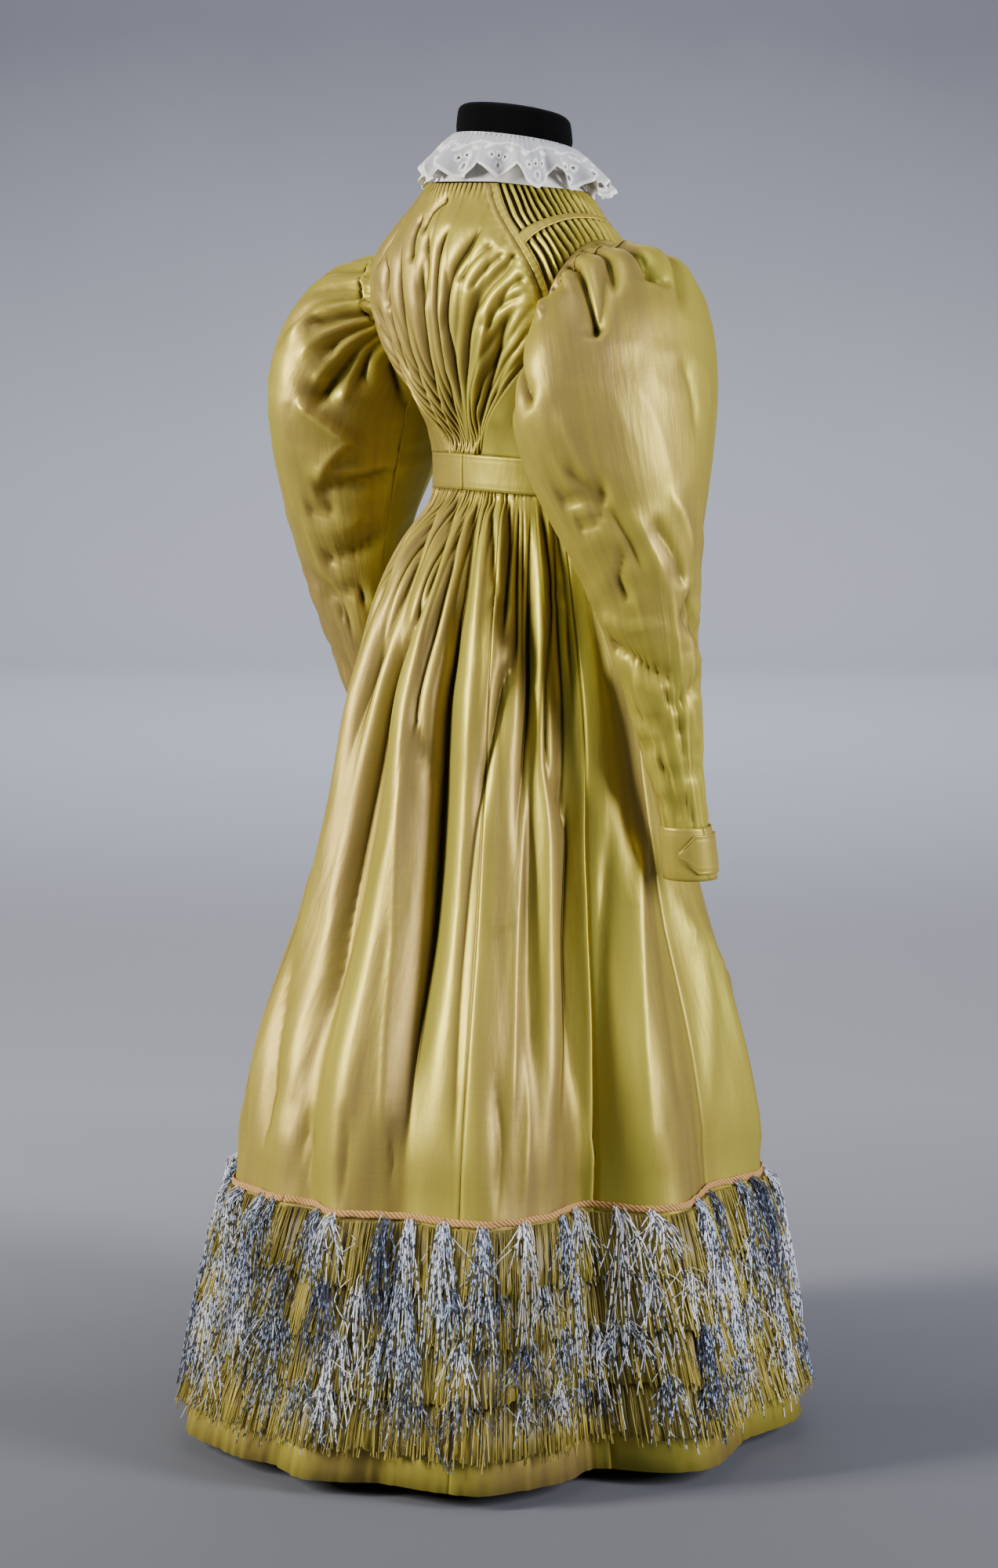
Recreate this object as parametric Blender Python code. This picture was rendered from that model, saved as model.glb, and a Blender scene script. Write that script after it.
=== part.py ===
"""A full-length gathered silk dress with leg-of-mutton sleeves, on the limbless dress form that fills it.

Metres, +Z up. The dress faces -Y, and its wearer's left is +X. The origin is under the form's pole, on the floor.
A turn is an angle round the body in degrees: 0 at the centre back, and growing towards the wearer's right (-X).
"""

import math
from collections import namedtuple

import bmesh
import bpy

# The cloth walls and the gaps between pieces
CLOTH = 0.0016
HEAVY_CLOTH = 0.0022
SEAM_GAP = 0.0004

# Heights above the floor
HEM_Z = 0.018
TRIM_Z = 0.297
WAIST_Z = 1.073
BAND_HEIGHT = 0.040
BODICE_Z = WAIST_Z + BAND_HEIGHT
NECK_Z = 1.419
COLLAR_Z = 1.464

# The waistband rises a little at the centre back, and the neck leans forward
WAIST_RISE = 0.006
NECK_SLOPE = 0.17

# Counts of pleats, gathers and locks
SHOULDER_PLEATS = 20
BACK_FOLDS = 16
CAP_GATHERS = 10
SCALLOPS = 14
FRINGE_ROWS = 4
TUFT_EVERY = 3

# One horizontal section: half its width, and its depth behind and before the axis
Section = namedtuple("Section", "z half_width back front squareness")
BODICE = [
    Section(1.060, 0.1120, 0.0745, 0.0765, 2.0),
    Section(1.113, 0.1120, 0.0750, 0.0775, 2.0),
    Section(1.137, 0.1150, 0.0790, 0.0840, 2.1),
    Section(1.172, 0.1250, 0.0950, 0.1000, 2.2),
    Section(1.210, 0.1400, 0.1110, 0.1160, 2.4),
    Section(1.245, 0.1520, 0.1220, 0.1230, 2.6),
    Section(1.292, 0.1620, 0.1290, 0.1080, 2.8),
    Section(1.333, 0.1580, 0.1270, 0.0880, 2.7),
    Section(1.366, 0.1360, 0.1180, 0.0740, 2.4),
    Section(1.390, 0.1120, 0.1080, 0.0690, 2.2),
    Section(1.419, 0.0850, 0.0940, 0.0680, 2.0),
    Section(1.440, 0.0730, 0.0780, 0.0670, 2.0),
    Section(1.470, 0.0670, 0.0670, 0.0670, 2.0),
]

SKIRT = [
    Section(0.018, 0.332, 0.396, 0.314, 2.0),
    Section(0.3065, 0.277, 0.333, 0.272, 2.0),
    Section(0.375, 0.272, 0.328, 0.268, 2.0),
    Section(0.468, 0.255, 0.304, 0.250, 2.0),
    Section(0.600, 0.220, 0.251, 0.212, 2.0),
    Section(0.745, 0.193, 0.212, 0.175, 2.0),
    Section(0.842, 0.175, 0.192, 0.152, 2.0),
    Section(0.900, 0.160, 0.174, 0.135, 2.0),
    Section(0.944, 0.149, 0.160, 0.122, 2.0),
    Section(0.978, 0.140, 0.145, 0.111, 2.0),
    Section(1.020, 0.128, 0.119, 0.096, 2.0),
    Section(1.055, 0.117, 0.092, 0.083, 2.0),
    Section(1.080, 0.1125, 0.0765, 0.0775, 2.0),
]

# One fold of the skirt: its turn at three heights, its spread in degrees, and how far it stands out in millimetres
Fold = namedtuple("Fold", "waist middle low spread hip knee trim")
FOLDS = [
    Fold(0, 0, 6, 5.0, -10, -22, -14),
    Fold(13, 13, 14, 5.0, 6, 12, 8),
    Fold(26, 27, 27, 4.5, -9, -20, -9),
    Fold(38, 40, 44, 8.0, 8, 12, 26),
    Fold(57, 54, 52, 3.5, -8, -9, 2),
    Fold(63, 61, 59, 4.0, 6, 11, 2),
    Fold(70, 68, 68, 7.0, -9, -20, -38),
    Fold(84, 84, 86, 9.0, 3, 10, 28),
    Fold(101, 104, 106, 8.0, -3, -7, -12),
    Fold(122, 124, 125, 10.0, 2, 8, 15),
    Fold(144, 144, 146, 10.0, -2, -6, -11),
    Fold(164, 164, 166, 10.0, 2, 6, 11),
    Fold(184, 184, 184, 10.0, -2, -6, -11),
    Fold(206, 204, 203, 10.0, 2, 6, 12),
    Fold(228, 226, 224, 10.0, -2, -7, -12),
    Fold(250, 248, 246, 9.0, 2, 8, 16),
    Fold(268, 268, 268, 8.0, -4, -10, -18),
    Fold(284, 286, 288, 8.0, 6, 10, 18),
    Fold(300, 301, 303, 5.5, -8, -14, -16),
    Fold(314, 314, 315, 6.0, 7, 10, 13),
    Fold(327, 327, 328, 5.0, -6, -10, -10),
    Fold(341, 342, 343, 6.0, 8, 12, 13),
]
FOLD_MIDDLE_Z = 0.62
FOLD_HIP_Z = 0.94

# The skirt's seams: where each lies as cut, and its turn at the waist and at the trimming
Seam = namedtuple("Seam", "cut waist low")
SEAMS = [
    Seam(-180, -180, -180),
    Seam(-102, -98, -104),
    Seam(-76, -78, -71),
    Seam(-40, -42, -39),
    Seam(40, 42, 39),
    Seam(76, 78, 71),
    Seam(102, 98, 104),
    Seam(180, 180, 180),
]
# A panel of the skirt: its first and last line of the cut, its gathers, and the columns it has below them
Panel = namedtuple("Panel", "name first last gathers columns")
PANELS = [
    Panel("skirt_back", -40, 40, 24, 24),
    Panel("skirt_back_right", 40, 76, 10, 10),
    Panel("skirt_side_right", 76, 102, 0, 5),
    Panel("skirt_front", 102, 258, 0, 14),
    Panel("skirt_side_left", 258, 284, 0, 5),
    Panel("skirt_back_left", 284, 320, 10, 10),
]
TRIM_TOP_Z = 0.3065
GATHERED_ROWS = (1.0725, 1.050, 1.005)
PLAIN_ROWS = (0.940, 0.850, 0.740, 0.620, 0.500, 0.390, TRIM_TOP_Z, HEM_Z)
GATHER_DEPTH = 0.0021
GATHER_END_Z = 0.95

# The seam between the back panel and its neighbours: the turn at each height
BACK_SEAM = [
    (1.113, 22),
    (1.150, 30),
    (1.190, 44),
    (1.220, 54),
    (1.250, 61),
    (1.292, 62),
    (1.333, 57),
    (1.366, 50),
    (1.390, 43),
    (1.425, 34),
]
FRONT_SEAM = [
    (1.113, 140),
    (1.170, 134),
    (1.220, 126),
    (1.250, 120),
    (1.292, 118),
    (1.333, 123),
    (1.366, 130),
    (1.390, 136),
    (1.425, 146),
]

# Rows of the bodice from the top down, so that neighbours share their heights at a seam
SHOULDER_BACK_ROWS = (1.419, 1.3895, 1.3580, 1.3195, 1.292)
STRIP_ROWS = (1.419, 1.3895, 1.3580, 1.3485, 1.3195, 1.292)
SHOULDER_FRONT_ROWS = (1.405, 1.3787, 1.3510, 1.3163, 1.292)
SIDE_ROWS = (1.265, 1.225, 1.190, 1.150, BODICE_Z + 0.0004)
PLEAT_DEPTH = 0.0013
BACK_FOLD_DEPTH = 0.0032
FRONT_FOLD_DEPTH = 0.0022
STRIP_WIDTH = 0.008
STRIP_RISE = 0.0015

# The armhole, an oval on the bodice's side
ARMHOLE_TURN = 90
ARMHOLE_SPREAD = 27
ARMHOLE_Z = 1.277
ARMHOLE_RISE = 0.070
SLEEVE_STAND = 0.0036

# One ring of the sleeve: its outer and inner edge, and its middle and half-depth from front to back
Ring = namedtuple("Ring", "outer_x outer_z inner_x inner_z mid_y half_depth gather")
SLEEVE = [
    Ring(0.184, 1.344, 0.1490, 1.204, 0.008, 0.084, 0.0030),
    Ring(0.232, 1.334, 0.1500, 1.185, 0.020, 0.107, 0.0075),
    Ring(0.276, 1.293, 0.1510, 1.160, 0.034, 0.121, 0.0085),
    Ring(0.306, 1.232, 0.1520, 1.128, 0.043, 0.124, 0.0050),
    Ring(0.319, 1.150, 0.1590, 1.085, 0.046, 0.110, 0.0020),
    Ring(0.321, 1.060, 0.1830, 1.018, 0.041, 0.079, 0.0),
    Ring(0.314, 0.975, 0.2050, 0.945, 0.028, 0.055, 0.0),
    Ring(0.304, 0.890, 0.2165, 0.872, 0.010, 0.041, 0.0),
    Ring(0.291, 0.800, 0.2255, 0.792, -0.011, 0.0315, 0.0),
    Ring(0.2815, 0.712, 0.2305, 0.710, -0.032, 0.0245, 0.0),
]
CAP_REACH = 112
SLEEVE_COLUMNS = 26

# The turned-back cuff
CUFF_TOP_Z = 0.718
CUFF_FOOT_Z = 0.658
CUFF_X = 0.2560
CUFF_Y = (-0.0315, -0.0395)
CUFF_HALF_WIDTH = (0.0295, 0.0305)
CUFF_HALF_DEPTH = (0.0290, 0.0300)
CUFF_COLUMNS = 18
TAB_LENGTH = 0.062
TAB_HEIGHT = 0.044

# The collar's frill
FRILL_REACH = 0.045
FRILL_DROP = 0.030
SCALLOP_DEPTH = 0.016
FRILL_WAVE = 0.0055

# The fringe on the skirt: how far its rows are apart, and where a lock has its rings of points below its strip
ROW_DROP = 0.058
HEADING_HEIGHT = 0.0070
LOCK_THICK = 0.0045
TRIM_STAND = 0.0016
Stop = namedtuple("Stop", "drop out")
LOCK_STOPS = [Stop(0.066, 0.0132)]
TUFT_STOPS = [Stop(0.006, 0.0064), Stop(0.070, 0.0205), Stop(0.150, 0.0215)]
BRAID_HEIGHT = 0.0080

# The form's stand
POLE_RADIUS = 0.0125
BASE_RADIUS = 0.150
BASE_THICK = 0.009
SOCKET_RADIUS = 0.024
SOCKET_HEIGHT = 0.045
HIP_Z = 0.880
FORM_COLUMNS = 20


def clear_scene():
    for obj in list(bpy.data.objects):
        bpy.data.objects.remove(obj, do_unlink=True)


def paint(name, colour, roughness, metallic=0.0):
    """A material with one Principled BSDF."""
    material = bpy.data.materials.new(name)
    material.use_nodes = True
    shader = material.node_tree.nodes["Principled BSDF"]
    shader.inputs["Base Color"].default_value = (*colour, 1.0)
    shader.inputs["Roughness"].default_value = roughness
    shader.inputs["Metallic"].default_value = metallic
    return material


def smooth(x):
    """0 below 0, 1 above 1, and an even slope between."""
    x = min(1.0, max(0.0, x))
    return x * x * (3 - 2 * x)


def between(points, x):
    """The value at x on the smooth line through points, which are pairs in rising order."""
    if x <= points[0][0]:
        return points[0][1]
    if x >= points[-1][0]:
        return points[-1][1]
    i = next(k for k in range(1, len(points)) if x <= points[k][0])
    (x0, y0), (x1, y1) = points[i - 1], points[i]

    def slope(k):
        low, high = points[max(k - 1, 0)], points[min(k + 1, len(points) - 1)]
        return (high[1] - low[1]) / (high[0] - low[0])

    width = x1 - x0
    t = (x - x0) / width
    a, b = slope(i - 1) * width, slope(i) * width
    return (
        y0 * (1 + 2 * t) * (1 - t) ** 2
        + a * t * (1 - t) ** 2
        + y1 * t * t * (3 - 2 * t)
        + b * t * t * (t - 1)
    )


def section_at(sections, z):
    """Half-width, back, front and squareness at a height."""
    return [
        between([(s.z, s[column]) for s in sections], z) for column in range(1, 5)
    ]


def radius_at(section, turn):
    half_width, back, front, squareness = section
    side, ahead = abs(math.sin(math.radians(turn))), math.cos(math.radians(turn))
    depth = back if ahead > 0 else front
    power = (side / half_width) ** squareness + (abs(ahead) / depth) ** squareness
    return power ** (-1 / squareness)


def on_section(section, turn, z, out=0.0):
    """The point at a turn and a height, moved out along the section's own normal."""
    step = 0.5

    def flat(angle):
        r = radius_at(section, angle)
        return (-r * math.sin(math.radians(angle)), r * math.cos(math.radians(angle)))

    x, y = flat(turn)
    if not out:
        return (x, y, z)
    (x0, y0), (x1, y1) = flat(turn - step), flat(turn + step)
    along = math.hypot(x1 - x0, y1 - y0)
    return (x + out * (y1 - y0) / along, y - out * (x1 - x0) / along, z)


def waist_shift(turn):
    """How much higher than its level the waist seam lies at a turn."""
    return WAIST_RISE * math.cos(math.radians(turn))


def add_object(name, bm, material, smooth_faces=True):
    bmesh.ops.recalc_face_normals(bm, faces=bm.faces)
    mesh = bpy.data.meshes.new(name)
    bm.to_mesh(mesh)
    bm.free()
    if smooth_faces:
        mesh.shade_smooth()
    mesh.materials.append(material)
    obj = bpy.data.objects.new(name, mesh)
    bpy.context.scene.collection.objects.link(obj)
    return obj


def stitch(bm, upper, lower):
    """Faces between two rows of vertices, where the upper row has as many as the lower one or twice the spans."""
    double = len(upper) > len(lower)
    for i in range(len(lower) - 1):
        if double:
            a, b, c = upper[2 * i : 2 * i + 3]
            bm.faces.new((a, b, lower[i]))
            bm.faces.new((b, lower[i + 1], lower[i]))
            bm.faces.new((b, c, lower[i + 1]))
        else:
            bm.faces.new((upper[i], upper[i + 1], lower[i + 1], lower[i]))


def wall(name, rows, material, closed=False):
    """A cloth wall. Each row, from the top down, is a list of pairs: a point on the outside and one on the inside."""
    bm = bmesh.new()
    sides = [[[bm.verts.new(pair[k]) for pair in row] for row in rows] for k in (0, 1)]
    for side in sides:
        if closed:
            side[:] = [row + row[:1] for row in side]
        for upper, lower in zip(side, side[1:]):
            stitch(bm, upper, lower)
    for row in (0, -1):
        stitch(bm, sides[0][row], sides[1][row])
    if not closed:
        for column in (0, -1):
            outer, inner = ([row[column] for row in side] for side in sides)
            stitch(bm, outer, inner)
    return add_object(name, bm, material)


def skirt_turn(cut, z):
    """The turn at which a line of the flat cut hangs at a height."""
    share = max(0.0, (z - TRIM_TOP_Z) / (WAIST_Z - TRIM_TOP_Z))
    whole = 360 if cut > 180 else 0
    pairs = [(seam.cut, seam.low + share * (seam.waist - seam.low)) for seam in SEAMS]
    i = next(k for k in range(1, len(pairs)) if cut - whole <= pairs[k][0])
    (c0, t0), (c1, t1) = pairs[i - 1], pairs[i]
    return t0 + (t1 - t0) * (cut - whole - c0) / (c1 - c0) + whole


def fold_height(turn, z):
    """How far the skirt's large folds stand out from its section."""
    total = 0.0
    for fold in FOLDS:
        places = [(TRIM_TOP_Z, fold.low), (FOLD_MIDDLE_Z, fold.middle), (WAIST_Z, fold.waist)]
        depths = [
            (TRIM_TOP_Z, fold.trim),
            (FOLD_MIDDLE_Z, fold.knee),
            (FOLD_HIP_Z, fold.hip),
            (WAIST_Z - 0.01, 0),
        ]
        away = (turn - between(places, z) + 180) % 360 - 180
        total += between(depths, z) / 1000 * math.exp(-((away / fold.spread) ** 2))
    return total


def gather_height(step, z):
    """The small gathers under the waistband: out at even steps and in at odd ones."""
    fade = smooth((z - GATHER_END_Z) / (WAIST_Z - GATHER_END_Z))
    return (GATHER_DEPTH if step % 2 == 0 else -GATHER_DEPTH) * fade


def skirt_point(turn, z, out):
    lift = waist_shift(turn) * smooth((z - 0.9) / (WAIST_Z - 0.9))
    return on_section(section_at(SKIRT, z), turn, z + lift, out)


def skirt_pair(turn, z, gather):
    """Outer and inner point of the skirt's wall."""
    out = fold_height(turn, z) + gather
    return (skirt_point(turn, z, out), skirt_point(turn, z, out - CLOTH))


def skirt_panel(panel, silk):
    rows = []
    for z in GATHERED_ROWS + PLAIN_ROWS:
        gathered = panel.gathers and z in GATHERED_ROWS
        count = panel.gathers * 2 if gathered else panel.columns
        gap = math.degrees(SEAM_GAP / 2 / section_at(SKIRT, z)[0])
        row = []
        for i in range(count + 1):
            turn = skirt_turn(panel.first + (panel.last - panel.first) * i / count, z)
            turn += gap if i == 0 else -gap if i == count else 0
            inside = gathered and 0 < i < count
            row.append(skirt_pair(turn, z, gather_height(i, z) if inside else 0.0))
        rows.append(row)
    return wall(panel.name, rows, silk)


def trim_turns():
    """The turns of the skirt's columns at its foot, so that what lies on the skirt follows its wall."""
    turns = []
    for panel in PANELS:
        step = (panel.last - panel.first) / panel.columns
        turns += [skirt_turn(panel.first + step * i, HEM_Z) for i in range(panel.columns)]
    return turns


def trim_point(turn, z, out):
    """A point on the straight foot of the skirt, moved out."""
    share = (z - HEM_Z) / (TRIM_TOP_Z - HEM_Z)
    low = skirt_point(turn, HEM_Z, fold_height(turn, HEM_Z) + out)
    high = skirt_point(turn, TRIM_TOP_Z, fold_height(turn, TRIM_TOP_Z) + out)
    return tuple(a + (b - a) * share for a, b in zip(low, high))


def bodice_point(turn, z, out):
    lift = waist_shift(turn) * smooth((1.20 - z) / (1.20 - BODICE_Z))
    return on_section(section_at(BODICE, z), turn, z + lift, out)


def bodice_pair(turn, z, out, thick=CLOTH):
    return (bodice_point(turn, z, out), bodice_point(turn, z, out - thick))


def seam_gap_turn(z):
    return math.degrees(SEAM_GAP / 2 / (section_at(BODICE, z)[1]))


def edge_fade(step, columns, width):
    """0 under the strips along a piece's edges and 1 in its middle; width is the piece's own."""
    from_edge = min(step, columns - step) * width / columns
    return smooth((from_edge - STRIP_WIDTH / 2) / 0.006)


def fan_fold(step, columns, half_turn, z, depth):
    """A fan of folds: small where they meet at the waist and at the neck, and flat along its edges."""
    share = (z - BODICE_Z) / (NECK_Z - BODICE_Z)
    fan = smooth(share / 0.30) * (1 - 0.6 * smooth((share - 0.80) / 0.20))
    height = 0.0005 + depth * fan
    height *= edge_fade(step, columns, math.radians(2 * half_turn) * 0.12)
    return height if step % 2 == 0 else -height


def bodice_back(silk):
    columns = BACK_FOLDS * 2
    rows = []
    for z in SHOULDER_BACK_ROWS + SIDE_ROWS:
        edge = between(BACK_SEAM, z) - seam_gap_turn(z)
        row = []
        for i in range(columns + 1):
            turn = -edge + 2 * edge * i / columns
            row.append(bodice_pair(turn, z, fan_fold(i, columns, edge, z, BACK_FOLD_DEPTH)))
        rows.append(row)
    return wall("bodice_back", rows, silk)


def edge_strip(name, side, silk):
    """The stitched strip over the seam between the back and the shoulder."""
    rows = []
    for z in STRIP_ROWS:
        middle = between(BACK_SEAM, z)
        half = math.degrees(STRIP_WIDTH / 2 / radius_at(section_at(BODICE, z), middle))
        row = []
        for turn in (middle - half, middle, middle + half):
            row.append(bodice_pair(side * turn, z, STRIP_RISE + CLOTH))
        rows.append(row)
    return wall(name, rows, silk)


def armhole_z(turn, upper):
    """The height of the armhole's upper or lower edge at a turn."""
    share = (turn - ARMHOLE_TURN) / (ARMHOLE_SPREAD + 2)
    half = ARMHOLE_RISE * math.sqrt(max(0.0, 1 - share * share))
    return ARMHOLE_Z + (half if upper else -half)


def bodice_side(name, side, silk):
    """The plain piece under an arm, from the back seam round to the front one."""
    columns = 8
    rows = []
    for level in SIDE_ROWS:
        row = []
        for i in range(columns + 1):
            s = i / columns
            inside = 0 < i < columns
            top = armhole_z(62 + (118 - 62) * s, False) - 0.002 if inside else SIDE_ROWS[0]
            share = (level - SIDE_ROWS[-1]) / (SIDE_ROWS[0] - SIDE_ROWS[-1])
            z = SIDE_ROWS[-1] + (top - SIDE_ROWS[-1]) * share
            low = between(BACK_SEAM, z) + seam_gap_turn(z)
            high = between(FRONT_SEAM, z) - seam_gap_turn(z)
            turn = low + (high - low) * s
            row.append(bodice_pair(side * turn, z, 0.0))
        rows.append(row)
    return wall(name, rows, silk)


def bodice_front(silk):
    columns = 18
    rows = []
    for z in SHOULDER_FRONT_ROWS + SIDE_ROWS:
        edge = between(FRONT_SEAM, z) + seam_gap_turn(z)
        row = []
        for i in range(columns + 1):
            turn = edge + (360 - 2 * edge) * i / columns
            row.append(bodice_pair(turn, z, fan_fold(i, columns, 180 - edge, z, FRONT_FOLD_DEPTH)))
        rows.append(row)
    return wall("bodice_front", rows, silk)


def shoulder_z(share, down):
    """Heights on the shoulder piece: share runs from the back seam to the front one, down from neck to armhole."""
    bow = math.sin(math.pi * share)
    neck = NECK_Z - 0.014 * share
    arm = 1.292 + (1.3565 - 1.292) * bow**0.7
    return neck + (arm - neck) * down


def shoulder_turn(share, z):
    low = between(BACK_SEAM, z) + seam_gap_turn(z)
    high = between(FRONT_SEAM, z) - seam_gap_turn(z)
    return low + (high - low) * share


def shoulder_row(side, down, columns, pleat, thick, rise=0.0):
    row = []
    for i in range(columns + 1):
        share = i / columns
        z = shoulder_z(share, down)
        out = rise + pleat * edge_fade(i, columns, 0.150) * (1 if i % 2 else -1)
        row.append(bodice_pair(side * shoulder_turn(share, z), z, out, thick))
    return row


def shoulder_pleats(name, side, top, foot, silk):
    """One row of narrow pleats across the shoulder."""
    rows = [
        shoulder_row(side, down, SHOULDER_PLEATS * 2, PLEAT_DEPTH, CLOTH)
        for down in (top, (top + foot) / 2, foot)
    ]
    return wall(name, rows, silk)


def shoulder_band(name, side, top, foot, silk):
    """The flat strap between the two rows of pleats."""
    rows = [
        shoulder_row(side, down, SHOULDER_PLEATS, 0.0, HEAVY_CLOTH, HEAVY_CLOTH - CLOTH)
        for down in (top, foot)
    ]
    return wall(name, rows, silk)


def waistband(silk):
    columns = 36
    rows = []
    for z in (BODICE_Z, WAIST_Z):
        row = []
        for i in range(columns):
            turn = 360 * i / columns
            section = section_at(BODICE, z)
            level = z + waist_shift(turn)
            row.append(
                (
                    on_section(section, turn, level, 0.0010),
                    on_section(section, turn, level, 0.0010 - HEAVY_CLOTH),
                )
            )
        rows.append(row)
    return wall("waistband", rows, silk, closed=True)


def armhole_point(angle, out):
    """The armhole's edge at an angle: 0 at its top, 90 at its back."""
    turn = ARMHOLE_TURN - ARMHOLE_SPREAD * math.sin(math.radians(angle))
    z = ARMHOLE_Z + (ARMHOLE_RISE + 0.004) * math.cos(math.radians(angle))
    return bodice_point(turn, z, out)


def sleeve_point(ring, angle, out):
    """A point of the left sleeve's ring: 0 on the outer edge, 90 at the back, 180 on the inner edge."""
    c, s = math.cos(math.radians(angle)), math.sin(math.radians(angle))
    half_x = (ring.outer_x - ring.inner_x) / 2
    half_z = (ring.outer_z - ring.inner_z) / 2
    length = math.hypot(half_x, half_z)
    r1, r2 = length + out, ring.half_depth + out
    return (
        (ring.outer_x + ring.inner_x) / 2 + r1 * c * half_x / length,
        ring.mid_y + r2 * s,
        (ring.outer_z + ring.inner_z) / 2 + r1 * c * half_z / length,
    )


def cap_gather(angle, step, depth):
    """Gathers of the sleeve's cap, which fade towards the underarm."""
    away = abs((angle + 180) % 360 - 180)
    fade = smooth((CAP_REACH + 20 - away) / 30)
    return (depth if step % 2 == 0 else -depth) * fade


def sleeve_angles():
    """Column angles: one for each crest and trough of the cap, and a few under the arm."""
    cap = [-CAP_REACH + 2 * CAP_REACH * i / (2 * CAP_GATHERS) for i in range(2 * CAP_GATHERS + 1)]
    under = SLEEVE_COLUMNS - len(cap)
    rest = 360 - 2 * CAP_REACH
    return cap + [CAP_REACH + rest * (i + 1) / (under + 1) for i in range(under)]


def sleeve(name, side, silk):
    """A leg-of-mutton sleeve: gathered into the armhole, full over the upper arm and narrow at the wrist."""

    def placed(point):
        return (side * point[0], point[1], point[2])

    angles = sleeve_angles()
    rows = []
    row = []
    for angle in angles:
        pair = []
        for out in (SLEEVE_STAND, SLEEVE_STAND - CLOTH):
            x, y, z = armhole_point(angle, out)
            pair.append(placed((-x, y, z)))
        row.append(tuple(pair))
    rows.append(row)
    for ring in SLEEVE:
        row = []
        for i, angle in enumerate(angles):
            out = cap_gather(angle, i, ring.gather)
            row.append(
                (
                    placed(sleeve_point(ring, angle, out)),
                    placed(sleeve_point(ring, angle, out - CLOTH)),
                )
            )
        rows.append(row)
    return wall(name, rows, silk, closed=True)


def cuff_point(share, angle, out, side):
    """A point of the cuff: share 0 at its top and 1 at its foot; angle 0 at the outer side, 90 at the back."""
    half_width = CUFF_HALF_WIDTH[0] + share * (CUFF_HALF_WIDTH[1] - CUFF_HALF_WIDTH[0]) + out
    half_depth = CUFF_HALF_DEPTH[0] + share * (CUFF_HALF_DEPTH[1] - CUFF_HALF_DEPTH[0]) + out
    y = CUFF_Y[0] + share * (CUFF_Y[1] - CUFF_Y[0])
    return (
        side * (CUFF_X + half_width * math.cos(math.radians(angle))),
        y + half_depth * math.sin(math.radians(angle)),
        CUFF_TOP_Z + share * (CUFF_FOOT_Z - CUFF_TOP_Z),
    )


def cuff(name, side, silk):
    rows = []
    for share in (0.0, 1.0):
        row = []
        for i in range(CUFF_COLUMNS):
            angle = 360 * i / CUFF_COLUMNS
            row.append((cuff_point(share, angle, 0.0, side), cuff_point(share, angle, -HEAVY_CLOTH, side)))
        rows.append(row)
    return wall(name, rows, silk, closed=True)


def cuff_tab(name, side, silk):
    """The cuff's pointed overlap, which lies on its outside and points to the back."""
    start, columns = -60.0, 8
    radius = CUFF_HALF_WIDTH[0]
    span = math.degrees(TAB_LENGTH / radius)
    low = 0.5 - TAB_HEIGHT / 2 / (CUFF_TOP_Z - CUFF_FOOT_Z)
    rows = []
    for j in range(3):
        row = []
        for i in range(columns + 1):
            along = i / columns
            point = smooth((along - 0.70) / 0.30)
            reach = (1 - 0.85 * (along - 0.70) / 0.30) if along > 0.70 else 1.0
            half = (0.5 - low) * max(0.12, reach)
            share = 0.5 + (j - 1) * half
            angle = start + span * along
            out = 0.0006 + CLOTH + 0.0006 * point
            row.append((cuff_point(share, angle, out, side), cuff_point(share, angle, out - CLOTH, side)))
        rows.append(row)
    return wall(name, rows, silk)


def lean(point):
    """Moves a point of the neck up behind and down in front."""
    x, y, z = point
    return (x, y, z + NECK_SLOPE * y * smooth((z - 1.415) / 0.03))


def neck_edge(turn):
    """The height of the bodice's neckline at a turn."""
    away = abs((turn + 180) % 360 - 180)
    back, front = between(BACK_SEAM, SHOULDER_BACK_ROWS[0]), between(FRONT_SEAM, SHOULDER_FRONT_ROWS[0])
    share = min(1.0, max(0.0, (away - back) / (front - back)))
    return SHOULDER_BACK_ROWS[0] + share * (SHOULDER_FRONT_ROWS[0] - SHOULDER_BACK_ROWS[0])


def collar_stand(linen):
    """The upright band of fine linen between the neckline and the frill."""
    columns = 24
    rows = []
    for share in (0.0, 1.0):
        row = []
        for i in range(columns):
            turn = 360 * i / columns
            foot = neck_edge(turn) + 0.0008
            z = COLLAR_Z + (foot - COLLAR_Z) * share
            row.append(tuple(lean(on_section(section_at(BODICE, z), turn, z, -t)) for t in (0.0, CLOTH)))
        rows.append(row)
    return wall("collar_stand", rows, linen, closed=True)


def collar_frill(linen):
    """The frill: a narrow flounce with pointed scallops, which stands out from the neck and falls in waves."""
    steps = 4
    columns = SCALLOPS * steps
    tip = (0.0, 0.55, 1.0, 0.45)
    rows = []
    for along in (0.0, 0.45, 1.0):
        row = []
        for i in range(columns):
            turn = math.radians(360 * i / columns)
            wave = FRILL_WAVE * along * math.cos(2 * math.pi * i / columns * SCALLOPS * 1.0)
            longer = SCALLOP_DEPTH * tip[i % steps] * max(0.0, along - 0.45) / 0.55
            reach = 0.0690 + FRILL_REACH * along + longer * 0.45
            drop = FRILL_DROP * along**1.4 + longer * 0.8
            pair = []
            for t in (0.0, CLOTH):
                r = reach - t * 0.35
                z = COLLAR_Z + 0.0022 - drop + wave - t
                x, y = -r * math.sin(turn), r * math.cos(turn)
                pair.append((x, y, z + NECK_SLOPE * y * (0.0690 / reach)))
            row.append(tuple(pair))
        rows.append(row)
    return wall("collar_frill", rows, linen, closed=True)


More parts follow.
